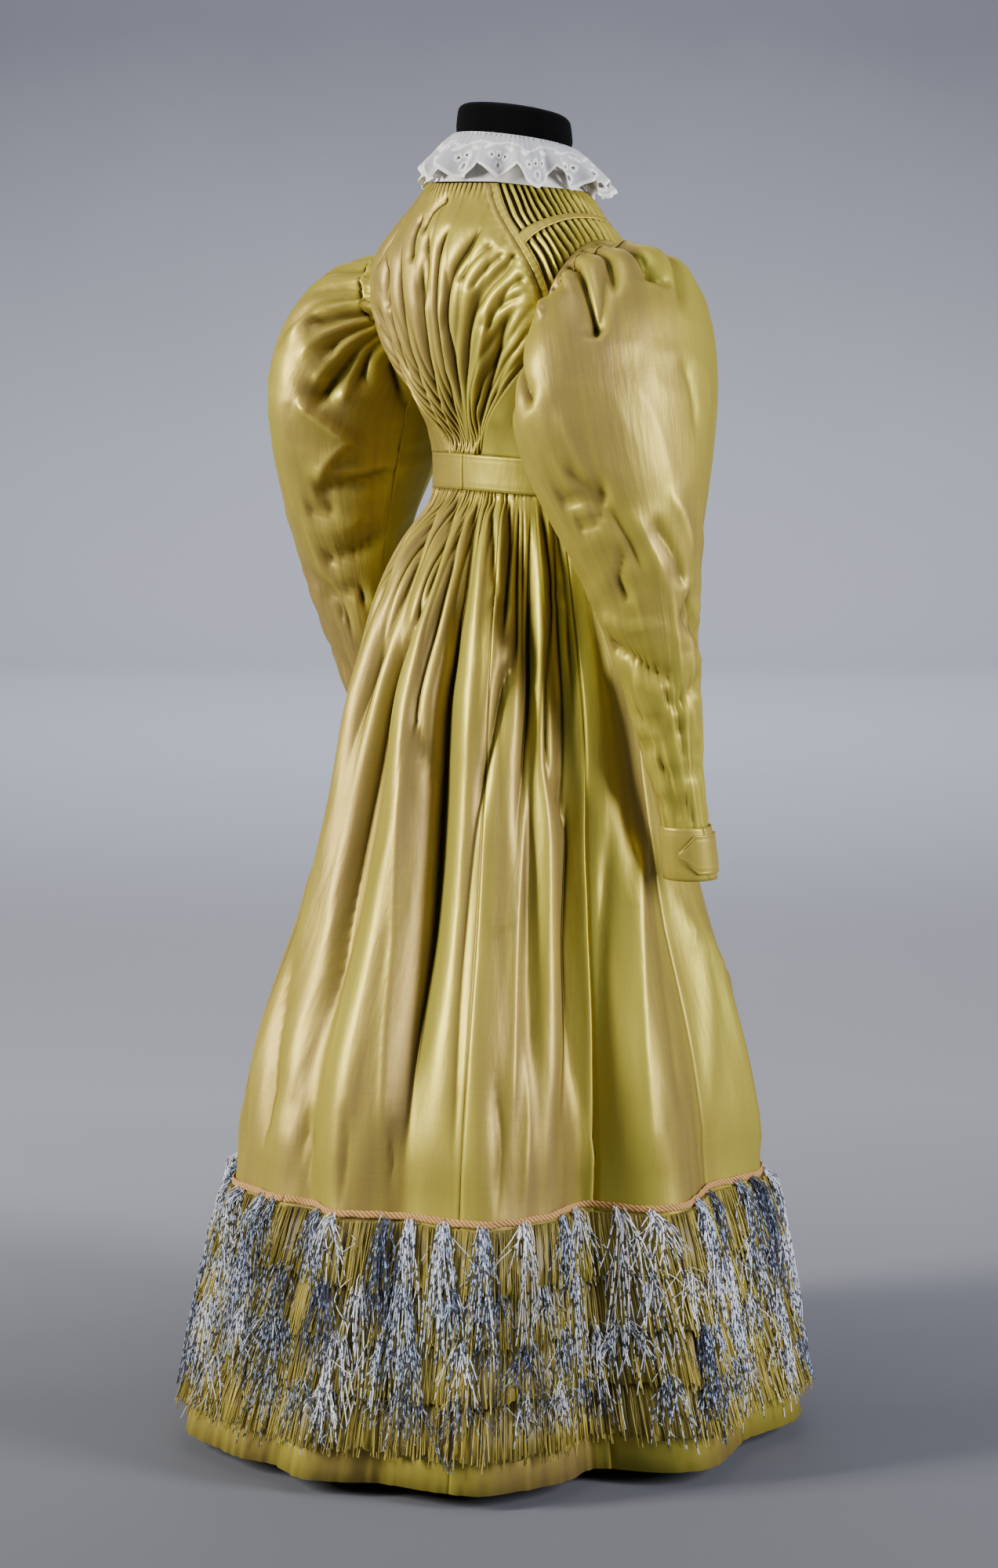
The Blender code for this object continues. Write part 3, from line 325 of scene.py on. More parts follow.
RIGHT_SLEEVE_CREASES = [
    Crease((98, -0.95, 98, 0.1, 100, 1.0), 6, 8, -30, 0.02, 0.15),
    Crease((84, -0.95, 83, 0.1, 84, 0.9), 6, 6, -24, 0.02, 0.15),
    Crease((68, -0.95, 62, 0.1, 58, 1.05), 7, 6, -22, 0.02, 0.20),
    Crease((47, -0.95, 42, 0.6, 40, 1.7, 39, 2.5), 9, 4, -14, 0.02, 0.12),
    Crease((24, 0.9, 31, 1.75, 38, 2.45), 7, 5, -6, 0.30, 0.10),
    Crease((54, 0.1, 50, 0.8, 49, 1.5), 5, 6, 7, 0.30, 0.30),
    Crease((25, -0.95, 23, 0.8, 25, 1.9), 5, 5, -11, 0.02, 0.25),
    Crease((74, 0.2, 71, 0.9, 69, 1.5), 6, 6, 8, 0.30, 0.30),
    Crease((8, -0.95, 4, 0.72, 2, 1.35, 0, 1.75), 8, 6, -15, 0.02, 0.12),
    Crease((3, 1.35, -4, 1.75, -11, 1.65), 5, 6, -7, 0.20, 0.20),
    Crease((-20, -0.95, -22, 0.78, -17, 1.77, -12, 2.31), 7, 7, -11, 0.02, 0.40),
    Crease((-40, -0.95, -42, 1.05, -48, 1.6), 7, 7, -10, 0.02, 0.30),
    Crease((118, -0.95, 112, 0.4, 104, 1.4, 94, 2.5, 86, 3.06), 9, 10, -15, 0.02, 0.20),
    Crease((134, -0.95, 128, 0.6, 118, 1.9, 108, 3), 10, 10, -12, 0.02, 0.30),
    Crease((152, -0.95, 146, 0.8, 136, 2.2), 9, 9, -10, 0.02, 0.40),
    Crease((-62, -0.95, -66, 0.6, -70, 1.8), 8, 9, -10, 0.02, 0.40),
    Crease((-84, -0.95, -86, 0.5, -90, 1.6), 8, 9, -10, 0.02, 0.40),
    Crease((-104, -0.95, -108, 0.5, -112, 1.4), 8, 8, -8, 0.02, 0.40),
    Crease((-8, 2.91, -17, 3.36, -20, 4.08), 6, 8, -5, 0.30, 0.40),
    Crease((30, 3, 10, 3.9, 2, 4.8), 26, 16, 3, 0.30, 0.30),
    Crease((70, 3.2, 64, 4, 60, 4.5), 12, 20, 3, 0.30, 0.30),
    Crease((94, 4.45, 66, 4.56, 48, 4.59), 4, 6, -8, 0.10, 0.25),
    Crease((76, 4.1, 63, 4.42, 50, 4.55), 4, 6, -5, 0.20, 0.20),
    Crease((86, 4.8, 72, 4.85, 54, 4.64), 4, 4, -6, 0.10, 0.20),
    Crease((55, 4.65, 46, 5.13, 39, 5.61), 9, 5, -5, 0.20, 0.30),
    Crease((25, 4.92, 6, 5.43, -7, 5.91), 9, 5, -6, 0.20, 0.30),
    Crease((50, 5.22, 66, 5.64, 59, 5.97), 6, 7, -6, 0.20, 0.30),
    Crease((40, 4.75, 28, 5.3, 16, 5.9), 8, 9, 4, 0.20, 0.30),
    Crease((10, 4.6, -6, 5, -16, 5.5), 8, 10, 5, 0.30, 0.30),
    Crease((114, 6.4, 80, 6.62, 57, 6.84, 28, 7, 0, 7.08), 6, 8, -12, 0.05, 0.40),
    Crease((110, 6, 80, 6.2, 50, 6.3, 20, 6.35), 14, 9, 5, 0.20, 0.40),
    Crease((45, 7.14, 30, 7.34, 0, 7.2, -46, 7.02), 5, 6, -9, 0.15, 0.20),
    Crease((90, 6.95, 55, 7.12, 20, 7.25), 5, 6, 4, 0.20, 0.30),
    Crease((-8, 5.9, -20, 6.24, -50, 6.51), 6, 6, -9, 0.15, 0.30),
    Crease((5, 6.12, -17, 6.4, -50, 6.69), 6, 6, -7, 0.15, 0.30),
    Crease((131, 7.89, 80, 7.8, 41, 7.71, 7, 7.62), 4, 5, -5, 0.20, 0.20),
    Crease((86, 8.01, 46, 8.25, 0, 8.2, -46, 8.25), 4, 5, -5, 0.15, 0.30),
    Crease((124, 8.49, 58, 8.67, 14, 8.55), 4, 4, -4, 0.20, 0.20),
    Crease((110, 7.35, 74, 7.55, 40, 7.48), 4, 5, -5, 0.20, 0.30),
    Crease((34, 7.9, 4, 8, -30, 7.9), 4, 4, -4, 0.30, 0.30),
    Crease((80, 8.85, 40, 8.75, 0, 8.85), 3, 4, -3, 0.20, 0.30),
    Crease((60, 8.3, 84, 8.45, 110, 8.3), 4, 4, 3, 0.30, 0.30),
    Crease((-160, 5.2, -110, 5.6, -60, 5.3), 8, 8, -8, 0.30, 0.30),
    Crease((-170, 6.3, -120, 6.6, -70, 6.4), 7, 7, -6, 0.30, 0.30),
    Crease((190, 4.6, 160, 4.9, 120, 5.1), 9, 8, -7, 0.30, 0.30),
]
LEFT_SLEEVE_CREASES = [
    Crease((72, -0.95, 64, 0.3, 58, 1.1, 46, 1.9), 6, 8, -8, 0.02, 0.50),
    Crease((82, -0.95, 72, 0.3, 68, 1.1, 69, 1.8, 74, 2.4), 7, 10, -13, 0.02, 0.40),
    Crease((94, -0.95, 92, 0.3, 90, 0.8, 83, 1.26), 7, 7, -16, 0.02, 0.15),
    Crease((102, -0.95, 105, 0.3, 107, 0.87, 111, 1.4), 7, 8, -16, 0.02, 0.15),
    Crease((112, -0.95, 120, 0.3, 127, 1.26, 128, 1.95, 125, 2.64), 9, 12, -23, 0.02, 0.13),
    Crease((120, -0.95, 129, 0.36, 138, 1.05, 145, 1.7), 8, 14, -20, 0.02, 0.20),
    Crease((132, -0.95, 148, 0.27, 167, 1.2, 186, 2.46), 9, 12, -16, 0.02, 0.30),
    Crease((150, -0.95, 170, 0.3, 190, 1.5), 9, 10, -12, 0.02, 0.40),
    Crease((118, 0.2, 133, 1.3, 138, 2.2), 8, 8, 8, 0.30, 0.30),
    Crease((110, 0.2, 117, 1.3, 118, 2.2), 8, 8, 8, 0.30, 0.30),
    Crease((98, 0.2, 98, 1, 100, 1.9), 8, 8, 6, 0.30, 0.30),
    Crease((86, 0.2, 80, 1, 80, 2), 9, 8, 6, 0.30, 0.30),
    Crease((58, -0.95, 44, 0.5, 32, 1.6), 8, 8, -10, 0.02, 0.40),
    Crease((42, -0.95, 28, 0.4, 16, 1.5), 8, 8, -11, 0.02, 0.40),
    Crease((24, -0.95, 12, 0.6, 4, 1.4), 8, 8, -10, 0.02, 0.40),
    Crease((4, -0.95, -4, 0.5, -10, 1.8), 8, 8, -12, 0.02, 0.40),
    Crease((-14, -0.95, -20, 0.5, -24, 1.4), 8, 8, -9, 0.02, 0.40),
    Crease((-32, -0.95, -36, 0.6, -40, 2), 8, 8, -12, 0.02, 0.40),
    Crease((-52, -0.95, -56, 0.5, -60, 1.6), 8, 8, -10, 0.02, 0.40),
    Crease((-72, -0.95, -74, 0.5, -78, 1.8), 8, 8, -11, 0.02, 0.40),
    Crease((-92, -0.95, -96, 0.5, -100, 1.4), 8, 8, -9, 0.02, 0.40),
    Crease((110, 2.7, 133, 2.88, 152, 3.1), 8, 14, 9, 0.20, 0.30),
    Crease((150, 3.05, 136, 3.75, 122, 4.41), 8, 16, 8, 0.10, 0.30),
    Crease((118, 4.5, 150, 4.2, 186, 3.87), 7, 9, -11, 0.20, 0.30),
    Crease((112, 4.25, 140, 4.02, 165, 3.8), 8, 8, 5, 0.30, 0.30),
    Crease((104, 4.83, 122, 4.78, 139, 4.65), 5, 6, -7, 0.25, 0.30),
    Crease((102, 5.65, 147, 5.37, 186, 4.95), 8, 8, -12, 0.20, 0.30),
    Crease((90, 5.2, 130, 5.05, 170, 4.7), 9, 10, 6, 0.30, 0.30),
    Crease((80, 6.27, 120, 6.1, 148, 5.97, 152, 6.25), 6, 7, -9, 0.20, 0.15),
    Crease((108, 6.6, 118, 6.36, 123, 6.84), 5, 6, -5, 0.20, 0.30),
    Crease((56, 5.9, 90, 6.05, 112, 6), 6, 6, -6, 0.30, 0.30),
    Crease((30, 7.1, 70, 7.25, 110, 7.3), 5, 6, -5, 0.30, 0.30),
    Crease((60, 7.8, 110, 7.9, 150, 7.9), 5, 5, -4, 0.30, 0.30),
    Crease((40, 8.4, 90, 8.5, 130, 8.4), 4, 4, -4, 0.30, 0.30),
    Crease((-30, 5.2, 20, 5.6, 60, 5.5), 8, 8, -8, 0.30, 0.30),
    Crease((-60, 4.6, -20, 5, 20, 4.9), 8, 8, -6, 0.30, 0.30),
    Crease((-120, 5.2, -80, 5.6, -40, 5.4), 8, 8, -7, 0.30, 0.30),
    Crease((-140, 6.4, -90, 6.7, -30, 6.6), 7, 7, -5, 0.30, 0.30),
    Crease((-20, 7.6, 20, 7.8, 60, 7.6), 5, 5, -4, 0.30, 0.30),
]
# How much farther out than the solids each sleeve's outer side hangs, ring by ring, in millimetres
RIGHT_SLEEVE_SET = [(-1, 0), (0, 8), (1, 17), (2, 10), (3, 0), (5, 0), (6, 2), (9, 0)]
RIGHT_SLEEVE_BACK = [(-1, 0), (0, 5), (1, 14), (2, 15), (3, 8), (4, 2), (9, 0)]
LEFT_SLEEVE_SET = [(-1, 0), (0, 4), (1, 6), (2, 0), (3, -6), (4, -7), (5, 3), (6, 10), (7, 9), (8, 4), (9, 0)]
LEFT_SLEEVE_BACK = [(-1, 0), (0, 3), (1, 5), (2, 4), (3, 0), (9, 0)]

# The frill: its scallops, how far it reaches and drops, and its size in the measure of its pattern
SCALLOPS = 14
FRILL_ROUND = 0.56
FRILL_LONG = 0.05
FRILL_REACH = 0.045
FRILL_DROP = 0.030
SCALLOP_DEPTH = 0.016

# The fringe's distance from the axis, on average
FRINGE_RADIUS = 0.33
# The bend of a sharply pressed fold: one over its radius, which is 10.5 mm. It sets how strongly bends are painted with
# shade and highlight
SHARP_BEND = 95

SEED = 7


def linear(hex_colour):
    """An sRGB hex colour as linear RGBA."""
    parts = [int(hex_colour[i : i + 2], 16) / 255 for i in (1, 3, 5)]
    return (*[c / 12.92 if c <= 0.04045 else ((c + 0.055) / 1.055) ** 2.4 for c in parts], 1.0)


def smooth(x):
    """An even step from 0 to 1."""
    x = np.clip(x, 0.0, 1.0)
    return x * x * (3 - 2 * x)


def held_out(height, room):
    """Keeps hollows from going deeper than the room there is over the form."""
    return np.where(height < 0, room * np.tanh(height / room), height)


def curve(points):
    """The same smooth line through points that the solids use, ready for arrays."""
    xs, ys = [p[0] for p in points], [p[1] for p in points]
    slopes = []
    for k in range(len(xs)):
        low, high = max(k - 1, 0), min(k + 1, len(xs) - 1)
        slopes.append((ys[high] - ys[low]) / (xs[high] - xs[low]))
    fine_x, fine_y = [], []
    for k in range(len(xs) - 1):
        width = xs[k + 1] - xs[k]
        for t in np.linspace(0, 1, 24, endpoint=k == len(xs) - 2):
            fine_x.append(xs[k] + width * t)
            fine_y.append(
                ys[k] * (1 + 2 * t) * (1 - t) ** 2
                + slopes[k] * width * t * (1 - t) ** 2
                + ys[k + 1] * t * t * (3 - 2 * t)
                + slopes[k + 1] * width * t * t * (t - 1)
            )
    return lambda x: np.interp(x, fine_x, fine_y)


def section_curves(sections):
    """Each measure of a list of sections as a smooth line by height."""
    return [curve([(s.z, s[column]) for s in sections]) for column in range(1, 5)]


# How deep a hollow of the skirt may go before it meets the form, by height
SKIRT_ROOM = curve(
    [(0.0, 0.2), (0.86, 0.10), (0.94, 0.024), (0.98, 0.020), (1.02, 0.011), (1.055, 0.0055), (1.08, 0.003)]
)
BODICE_CURVES = section_curves(BODICE)
SKIRT_CURVES = section_curves(SKIRT)
BACK_SEAM_CURVE = curve(BACK_SEAM)
FRONT_SEAM_CURVE = curve(FRONT_SEAM)


def flat_point(curves, turn, z):
    """The point of a section at a turn from the back, as the solids have it."""
    half_width, back, front, squareness = [c(z) for c in curves]
    side, ahead = np.sin(np.radians(turn)), np.cos(np.radians(turn))
    depth = np.where(ahead > 0, back, front)
    r = ((np.abs(side) / half_width) ** squareness + (np.abs(ahead) / depth) ** squareness) ** (-1 / squareness)
    return -r * side, r * ahead


def on_section(curves, turn, z, out):
    """Points at a turn and height, moved out along the section's own normal."""
    x, y = flat_point(curves, turn, z)
    x0, y0 = flat_point(curves, turn - 0.5, z)
    x1, y1 = flat_point(curves, turn + 0.5, z)
    along = np.hypot(x1 - x0, y1 - y0)
    return np.stack([x + out * (y1 - y0) / along, y - out * (x1 - x0) / along, z + 0 * x], -1)


def hash_noise(a, b, seed):
    """Smooth noise of two arrays, from -1 to 1, by hashed lattice points."""
    i, j = np.floor(a), np.floor(b)
    f, g = smooth(a - i), smooth(b - j)

    def corner(p, q):
        value = np.sin(p * 127.1 + q * 311.7 + seed * 74.7) * 43758.5453
        return (value - np.floor(value)) * 2 - 1

    top = corner(i, j) * (1 - f) + corner(i + 1, j) * f
    foot = corner(i, j + 1) * (1 - f) + corner(i + 1, j + 1) * f
    return top * (1 - g) + foot * g


def crease_field(across, along, across_scale, along_scale, creases):
    """Heights of creases at places on the cloth. Each has a crisp line and flanks that flatten out beside it."""
    total = np.zeros_like(across)
    for c in creases:
        knots = np.array(c.places).reshape(-1, 2)
        steps = np.linspace(0, len(knots) - 1, 4 * (len(knots) - 1) + 1)
        line = np.stack([curve(list(enumerate(knots[:, k])))(steps) for k in (0, 1)], -1)
        middle = line[:, 0].mean()
        turned = (across - middle + 180) % 360 - 180
        nearest = np.full_like(across, 1e9)
        aside, done = np.zeros_like(across), np.zeros_like(across)
        for k in range(len(line) - 1):
            # The place seen from the segment's start, in millimetres
            x, y = (turned + middle - line[k, 0]) * across_scale, (along - line[k, 1]) * along_scale
            dx, dy = (line[k + 1, 0] - line[k, 0]) * across_scale, (line[k + 1, 1] - line[k, 1]) * along_scale
            length = dx * dx + dy * dy
            share = np.clip((x * dx + y * dy) / length, 0, 1)
            away = np.hypot(x - share * dx, y - share * dy)
            closer = away < nearest
            nearest = np.where(closer, away, nearest)
            aside = np.where(closer, x * dy - y * dx, aside)
            done = np.where(closer, (k + share) / (len(line) - 1), done)
        # Left and right are as the maker sees them, with the crease's start above
        slope = np.where(aside > 0, c.left, c.right)
        ends = smooth((done + 0.02) / c.begin) * smooth((1.02 - done) / c.end)
        total = total + c.depth / 1000 * ends * np.exp(-(np.sqrt(nearest**2 + 0.8) - 0.9) / slope)
    return total


# Nodes and materials


def add(tree, kind, settings=None, links=None, stops=()):
    """Adds a node: settings are its properties and fixed inputs, links its linked inputs, stops a ramp's colours."""
    made = tree.nodes.new(kind)
    for key, value in (settings or {}).items():
        if isinstance(key, str) and hasattr(made, key):
            setattr(made, key, value)
        else:
            made.inputs[key].default_value = value
    for key, source in (links or {}).items():
        tree.links.new(source, made.inputs[key])
    for k, (place, colour) in enumerate(stops):
        elements = made.color_ramp.elements
        element = elements[k] if k < 2 else elements.new(place)
        element.position, element.color = place, linear(colour)
    return made


def start_material(name):
    """A new material, its nodes and its shader."""
    material = bpy.data.materials.new(name)
    material.use_nodes = True
    tree = material.node_tree
    return material, tree, tree.nodes["Principled BSDF"]


def settle(shader, looks):
    """Sets how the shader takes the light."""
    for key, value in looks.items():
        shader.inputs[key].default_value = value


def shot_taffeta():
    """Silk taffeta woven of two colours, green-gold across and tan-pink along, and pressed smooth.

    Its colour carries painted light: the shot weave's sheen, which really shifts with the angle of light and view, is
    painted fixed, greener on one flank of a fold and darker tan-pink on the other, and crisp bright lines are painted
    on its crests with shade in its hollows.
    """
    material, tree, shader = start_material("shot silk taffeta")
    place = add(tree, "ShaderNodeTexCoord")
    # Painted sheen and shade: flanks turned to the wearer's right are painted tan-pink and darker, the others greener
    # and lighter
    turned = add(tree, "ShaderNodeAttribute", {"attribute_name": "turned"})
    # Faded and fresher places, 0.2 m across
    broad = add(tree, "ShaderNodeTexNoise", {"Scale": 4.5, "Detail": 2.0}, {"Vector": place.outputs["Object"]})
    # Streaks of the warp, 8 to 25 mm apart and as long as a hand
    streak_map = add(tree, "ShaderNodeMapping", {"Scale": (70.0, 4.0, 1.0)}, {"Vector": place.outputs["UV"]})
    streak = add(tree, "ShaderNodeTexNoise", {"Detail": 2.0, "Scale": 1.0}, {"Vector": streak_map.outputs["Vector"]})
    # Ribs of the weft: 0.3 mm on the real cloth, drawn 2 mm high so that they show at all
    rib_map = add(tree, "ShaderNodeMapping", {"Scale": (22.0, 520.0, 1.0)}, {"Vector": place.outputs["UV"]})
    rib = add(tree, "ShaderNodeTexNoise", {"Detail": 1.0, "Scale": 1.0}, {"Vector": rib_map.outputs["Vector"]})
    tone = add(
        tree,
        "ShaderNodeMath",
        {"operation": "MULTIPLY_ADD", 1: 0.22, 2: 0.0},
        {0: broad.outputs["Fac"]},
    )
    for source, weight in ((turned.outputs["Fac"], 0.30), (streak.outputs["Fac"], 0.26), (rib.outputs["Fac"], 0.08)):
        tone = add(
            tree,
            "ShaderNodeMath",
            {"operation": "MULTIPLY_ADD", 1: weight},
            {0: source, 2: tone.outputs["Value"]},
        )
    colour = add(
        tree,
        "ShaderNodeValToRGB",
        links={"Fac": tone.outputs["Value"]},
        stops=((0.28, "#C3BA52"), (0.40, "#C2B354"), (0.50, "#B7A458"), (0.62, "#A58F5B")),
    )
    # Painted shade and painted highlight: the colour is darkened in the cloth's hollows and lightened on its pressed
    # crests, by how sharply it bends there
    fold = add(tree, "ShaderNodeAttribute", {"attribute_name": "fold"})
    stops = ((0.04, "#4A4222"), (0.41, "#CFCCC0"), (0.54, "#DAD8CE"), (0.80, "#FFFDE8"))
    folded = add(tree, "ShaderNodeValToRGB", links={"Fac": fold.outputs["Fac"]}, stops=stops)
    silk = add(
        tree,
        "ShaderNodeMix",
        {"data_type": "RGBA", "blend_type": "MULTIPLY", 0: 1.0},
        {6: colour.outputs["Color"], 7: folded.outputs["Color"]},
    )
    tree.links.new(silk.outputs[2], shader.inputs["Base Color"])
    settle(
        shader,
        {
            "Metallic": 0.44,
            "Roughness": 0.42,
            "Specular IOR Level": 0.12,
            "Specular Tint": linear("#F4E8B4"),
            "Anisotropic": 0.30,
            "Sheen Weight": 0.05,
            "Sheen Roughness": 0.30,
            "Sheen Tint": linear("#E6D49A"),
        },
    )
    # The fine crumple of a crisp silk, 10 to 20 mm across and longer along the warp, under the ribs
    long_map = add(tree, "ShaderNodeMapping", {"Scale": (95.0, 24.0, 1.0)}, {"Vector": place.outputs["UV"]})
    crumple = add(tree, "ShaderNodeTexNoise", {"Scale": 1.0, "Detail": 3.0}, {"Vector": long_map.outputs["Vector"]})
    rough = add(tree, "ShaderNodeBump", {"Strength": 0.32, "Distance": 0.002}, {"Height": crumple.outputs["Fac"]})
    weave = add(
        tree,
        "ShaderNodeBump",
        {"Strength": 0.10, "Distance": 0.0003},
        {"Height": rib.outputs["Fac"], "Normal": rough.outputs["Normal"]},
    )
    tree.links.new(weave.outputs["Normal"], shader.inputs["Normal"])
    return material


def cotton_lawn():
    """Fine white cotton, plain woven: matt and a little see-through at its edges."""
    material, tree, shader = start_material("white cotton lawn")
    place = add(tree, "ShaderNodeTexCoord")
    # Soft rumples 17 mm across
    soft = add(tree, "ShaderNodeTexNoise", {"Scale": 60.0, "Detail": 4.0}, {"Vector": place.outputs["Object"]})
    stops = ((0.3, "#C9CACD"), (0.7, "#E9E8E6"))
    colour = add(tree, "ShaderNodeValToRGB", links={"Fac": soft.outputs["Fac"]}, stops=stops)
    tree.links.new(colour.outputs["Color"], shader.inputs["Base Color"])
    settle(shader, {"Roughness": 0.85, "Sheen Weight": 0.15})
    bump = add(tree, "ShaderNodeBump", {"Strength": 0.25, "Distance": 0.0008}, {"Height": soft.outputs["Fac"]})
    tree.links.new(bump.outputs["Normal"], shader.inputs["Normal"])
    return material


def whitework():
    """Lawn with satin-stitch leaves and rings: the stitched places are whiter and stand up a little."""
    material, tree, shader = start_material("whitework on lawn")
    work = add(tree, "ShaderNodeAttribute", {"attribute_name": "stitched"})
    place = add(tree, "ShaderNodeTexCoord")
    # Unevenness 4 mm across, as wide as a stitched leaf
    soft = add(tree, "ShaderNodeTexNoise", {"Scale": 240.0, "Detail": 3.0}, {"Vector": place.outputs["Object"]})
    blend = add(
        tree,
        "ShaderNodeMath",
        {"operation": "MULTIPLY_ADD", 1: 0.30},
        {0: soft.outputs["Fac"], 2: work.outputs["Fac"]},
    )
    stops = ((0.10, "#B4B6BA"), (0.45, "#D3D3D3"), (0.95, "#F4F2EE"))
    colour = add(tree, "ShaderNodeValToRGB", links={"Fac": blend.outputs["Value"]}, stops=stops)
    tree.links.new(colour.outputs["Color"], shader.inputs["Base Color"])
    settle(shader, {"Roughness": 0.80, "Sheen Weight": 0.2})
    bump = add(tree, "ShaderNodeBump", {"Strength": 0.5, "Distance": 0.0008}, {"Height": blend.outputs["Value"]})
    tree.links.new(bump.outputs["Normal"], shader.inputs["Normal"])
    return material


def silk_yarn():
    """Twisted silk threads, mustard to olive: soft gloss along each thread, and painted shade, dark in the gaps between
    them and at their roots.
    """
    material, tree, shader = start_material("twisted silk thread, mustard")
    shade = add(tree, "ShaderNodeAttribute", {"attribute_name": "shade"})
    stops = ((0.10, "#3A3010"), (0.35, "#7D6E20"), (0.60, "#AA9A3A"), (0.95, "#CDBF62"))
    colour = add(tree, "ShaderNodeValToRGB", links={"Fac": shade.outputs["Fac"]}, stops=stops)
    tree.links.new(colour.outputs["Color"], shader.inputs["Base Color"])
    settle(shader, {"Roughness": 0.55, "Sheen Weight": 0.25, "Sheen Tint": linear("#D8C890")})
    return material


def knop_yarn():
    """Knop yarn: tufts of white and pale blue wool spun 5 to 9 mm apart on a slate thread, so that it looks beaded."""
    material, tree, shader = start_material("knop yarn, slate with white and blue")
    along = add(tree, "ShaderNodeAttribute", {"attribute_name": "along"})
    tint = add(tree, "ShaderNodeAttribute", {"attribute_name": "shade"})
    spaced = add(tree, "ShaderNodeMath", {"operation": "MULTIPLY", 1: 130.0}, {0: along.outputs["Fac"]})
    knots = add(
        tree,
        "ShaderNodeTexNoise",
        {"noise_dimensions": "1D", "Scale": 1.0, "Detail": 0.0},
        {"W": spaced.outputs["Value"]},
    )
    # A strand with a high tint is nearly all white, and one with a low tint is mostly slate
    lifted = add(
        tree,
        "ShaderNodeMath",
        {"operation": "MULTIPLY_ADD", 1: 0.28},
        {0: tint.outputs["Fac"], 2: knots.outputs["Fac"]},
    )
    knot = add(
        tree, "ShaderNodeValToRGB", links={"Fac": lifted.outputs["Value"]}, stops=((0.62, "#000000"), (0.68, "#FFFFFF"))
    )
    stops = ((0.05, "#7F92BC"), (0.40, "#B0C6EC"), (0.70, "#CFDDF4"), (0.92, "#FAFAFD"))
    wool = add(tree, "ShaderNodeValToRGB", links={"Fac": tint.outputs["Fac"]}, stops=stops)
    colour = add(
        tree,
        "ShaderNodeMix",
        {"data_type": "RGBA", 6: linear("#232A40")},
        {0: knot.outputs["Color"], 7: wool.outputs["Color"]},
    )
    tree.links.new(colour.outputs[2], shader.inputs["Base Color"])
    settle(shader, {"Roughness": 0.75, "Sheen Weight": 0.3})
    bump = add(tree, "ShaderNodeBump", {"Strength": 0.6, "Distance": 0.0006}, {"Height": knots.outputs["Fac"]})
    tree.links.new(bump.outputs["Normal"], shader.inputs["Normal"])
    return material


def black_jersey():
    """Knitted cotton over padding: matt black with a faint nap."""
    material, tree, shader = start_material("black cotton jersey")
    place = add(tree, "ShaderNodeTexCoord")
    # Loops of the knitting, 1.4 mm apart
    nap = add(tree, "ShaderNodeTexNoise", {"Scale": 700.0, "Detail": 2.0}, {"Vector": place.outputs["Object"]})
    stops = ((0.3, "#020203"), (0.8, "#060607"))
    colour = add(tree, "ShaderNodeValToRGB", links={"Fac": nap.outputs["Fac"]}, stops=stops)
    tree.links.new(colour.outputs["Color"], shader.inputs["Base Color"])
    settle(shader, {"Roughness": 0.95, "Sheen Weight": 0.02, "Specular IOR Level": 0.06})
    bump = add(tree, "ShaderNodeBump", {"Strength": 0.3, "Distance": 0.0006}, {"Height": nap.outputs["Fac"]})
    tree.links.new(bump.outputs["Normal"], shader.inputs["Normal"])
    return material


def black_enamel():
    """Stoved enamel on steel: satin black, with a slight orange peel."""
    material, tree, shader = start_material("black enamelled steel")
    place = add(tree, "ShaderNodeTexCoord")
    # Peel 4 mm across, and wear 70 mm across
    peel = add(tree, "ShaderNodeTexNoise", {"Scale": 260.0, "Detail": 2.0}, {"Vector": place.outputs["Object"]})
    wear_and_painted_light = add(tree, "ShaderNodeTexNoise", {"Scale": 14.0, "Detail": 4.0}, {"Vector": place.outputs["Object"]})
    stops = ((0.35, "#1A1A1B"), (0.75, "#2A2A2B"))
    colour = add(tree, "ShaderNodeValToRGB", links={"Fac": wear_and_painted_light.outputs["Fac"]}, stops=stops)
    tree.links.new(colour.outputs["Color"], shader.inputs["Base Color"])
    settle(shader, {"Roughness": 0.38})
    bump = add(tree, "ShaderNodeBump", {"Strength": 0.12, "Distance": 0.0005}, {"Height": peel.outputs["Fac"]})
    tree.links.new(bump.outputs["Normal"], shader.inputs["Normal"])
    return material


def woven_tape():
    """A narrow tan braid, woven in a twill of two tans."""
    material, tree, shader = start_material("tan wool braid")
    place = add(tree, "ShaderNodeTexCoord")
    # Diagonal ribs 5 mm apart
    twill = add(
        tree,
        "ShaderNodeTexWave",
        {"Scale": 130.0, "Distortion": 1.5, "bands_direction": "DIAGONAL"},
        {"Vector": place.outputs["UV"]},
    )
    stops = ((0.2, "#8E6330"), (0.8, "#C59A5C"))
    colour = add(tree, "ShaderNodeValToRGB", links={"Fac": twill.outputs["Fac"]}, stops=stops)
    tree.links.new(colour.outputs["Color"], shader.inputs["Base Color"])
    settle(shader, {"Roughness": 0.8})
    bump = add(tree, "ShaderNodeBump", {"Strength": 0.5, "Distance": 0.0008}, {"Height": twill.outputs["Fac"]})
    tree.links.new(bump.outputs["Normal"], shader.inputs["Normal"])
    return material


# Cloth


def spots_of(mesh):
    """The mesh's points, one to a row."""
    flat = np.empty(len(mesh.vertices) * 3)
    mesh.vertices.foreach_get("co", flat)
    return flat.reshape(-1, 3)


def turns_of(spots):
    """How far round the dress each point lies, in degrees from its back."""
    return np.degrees(np.arctan2(-spots[:, 0], spots[:, 1]))


def store(mesh, name, values):
    """Gives each point of the mesh a value, which its material reads by this name."""
    layer = mesh.attributes.new(name, "FLOAT", "POINT")
    layer.data.foreach_set("value", values.astype(np.float32))


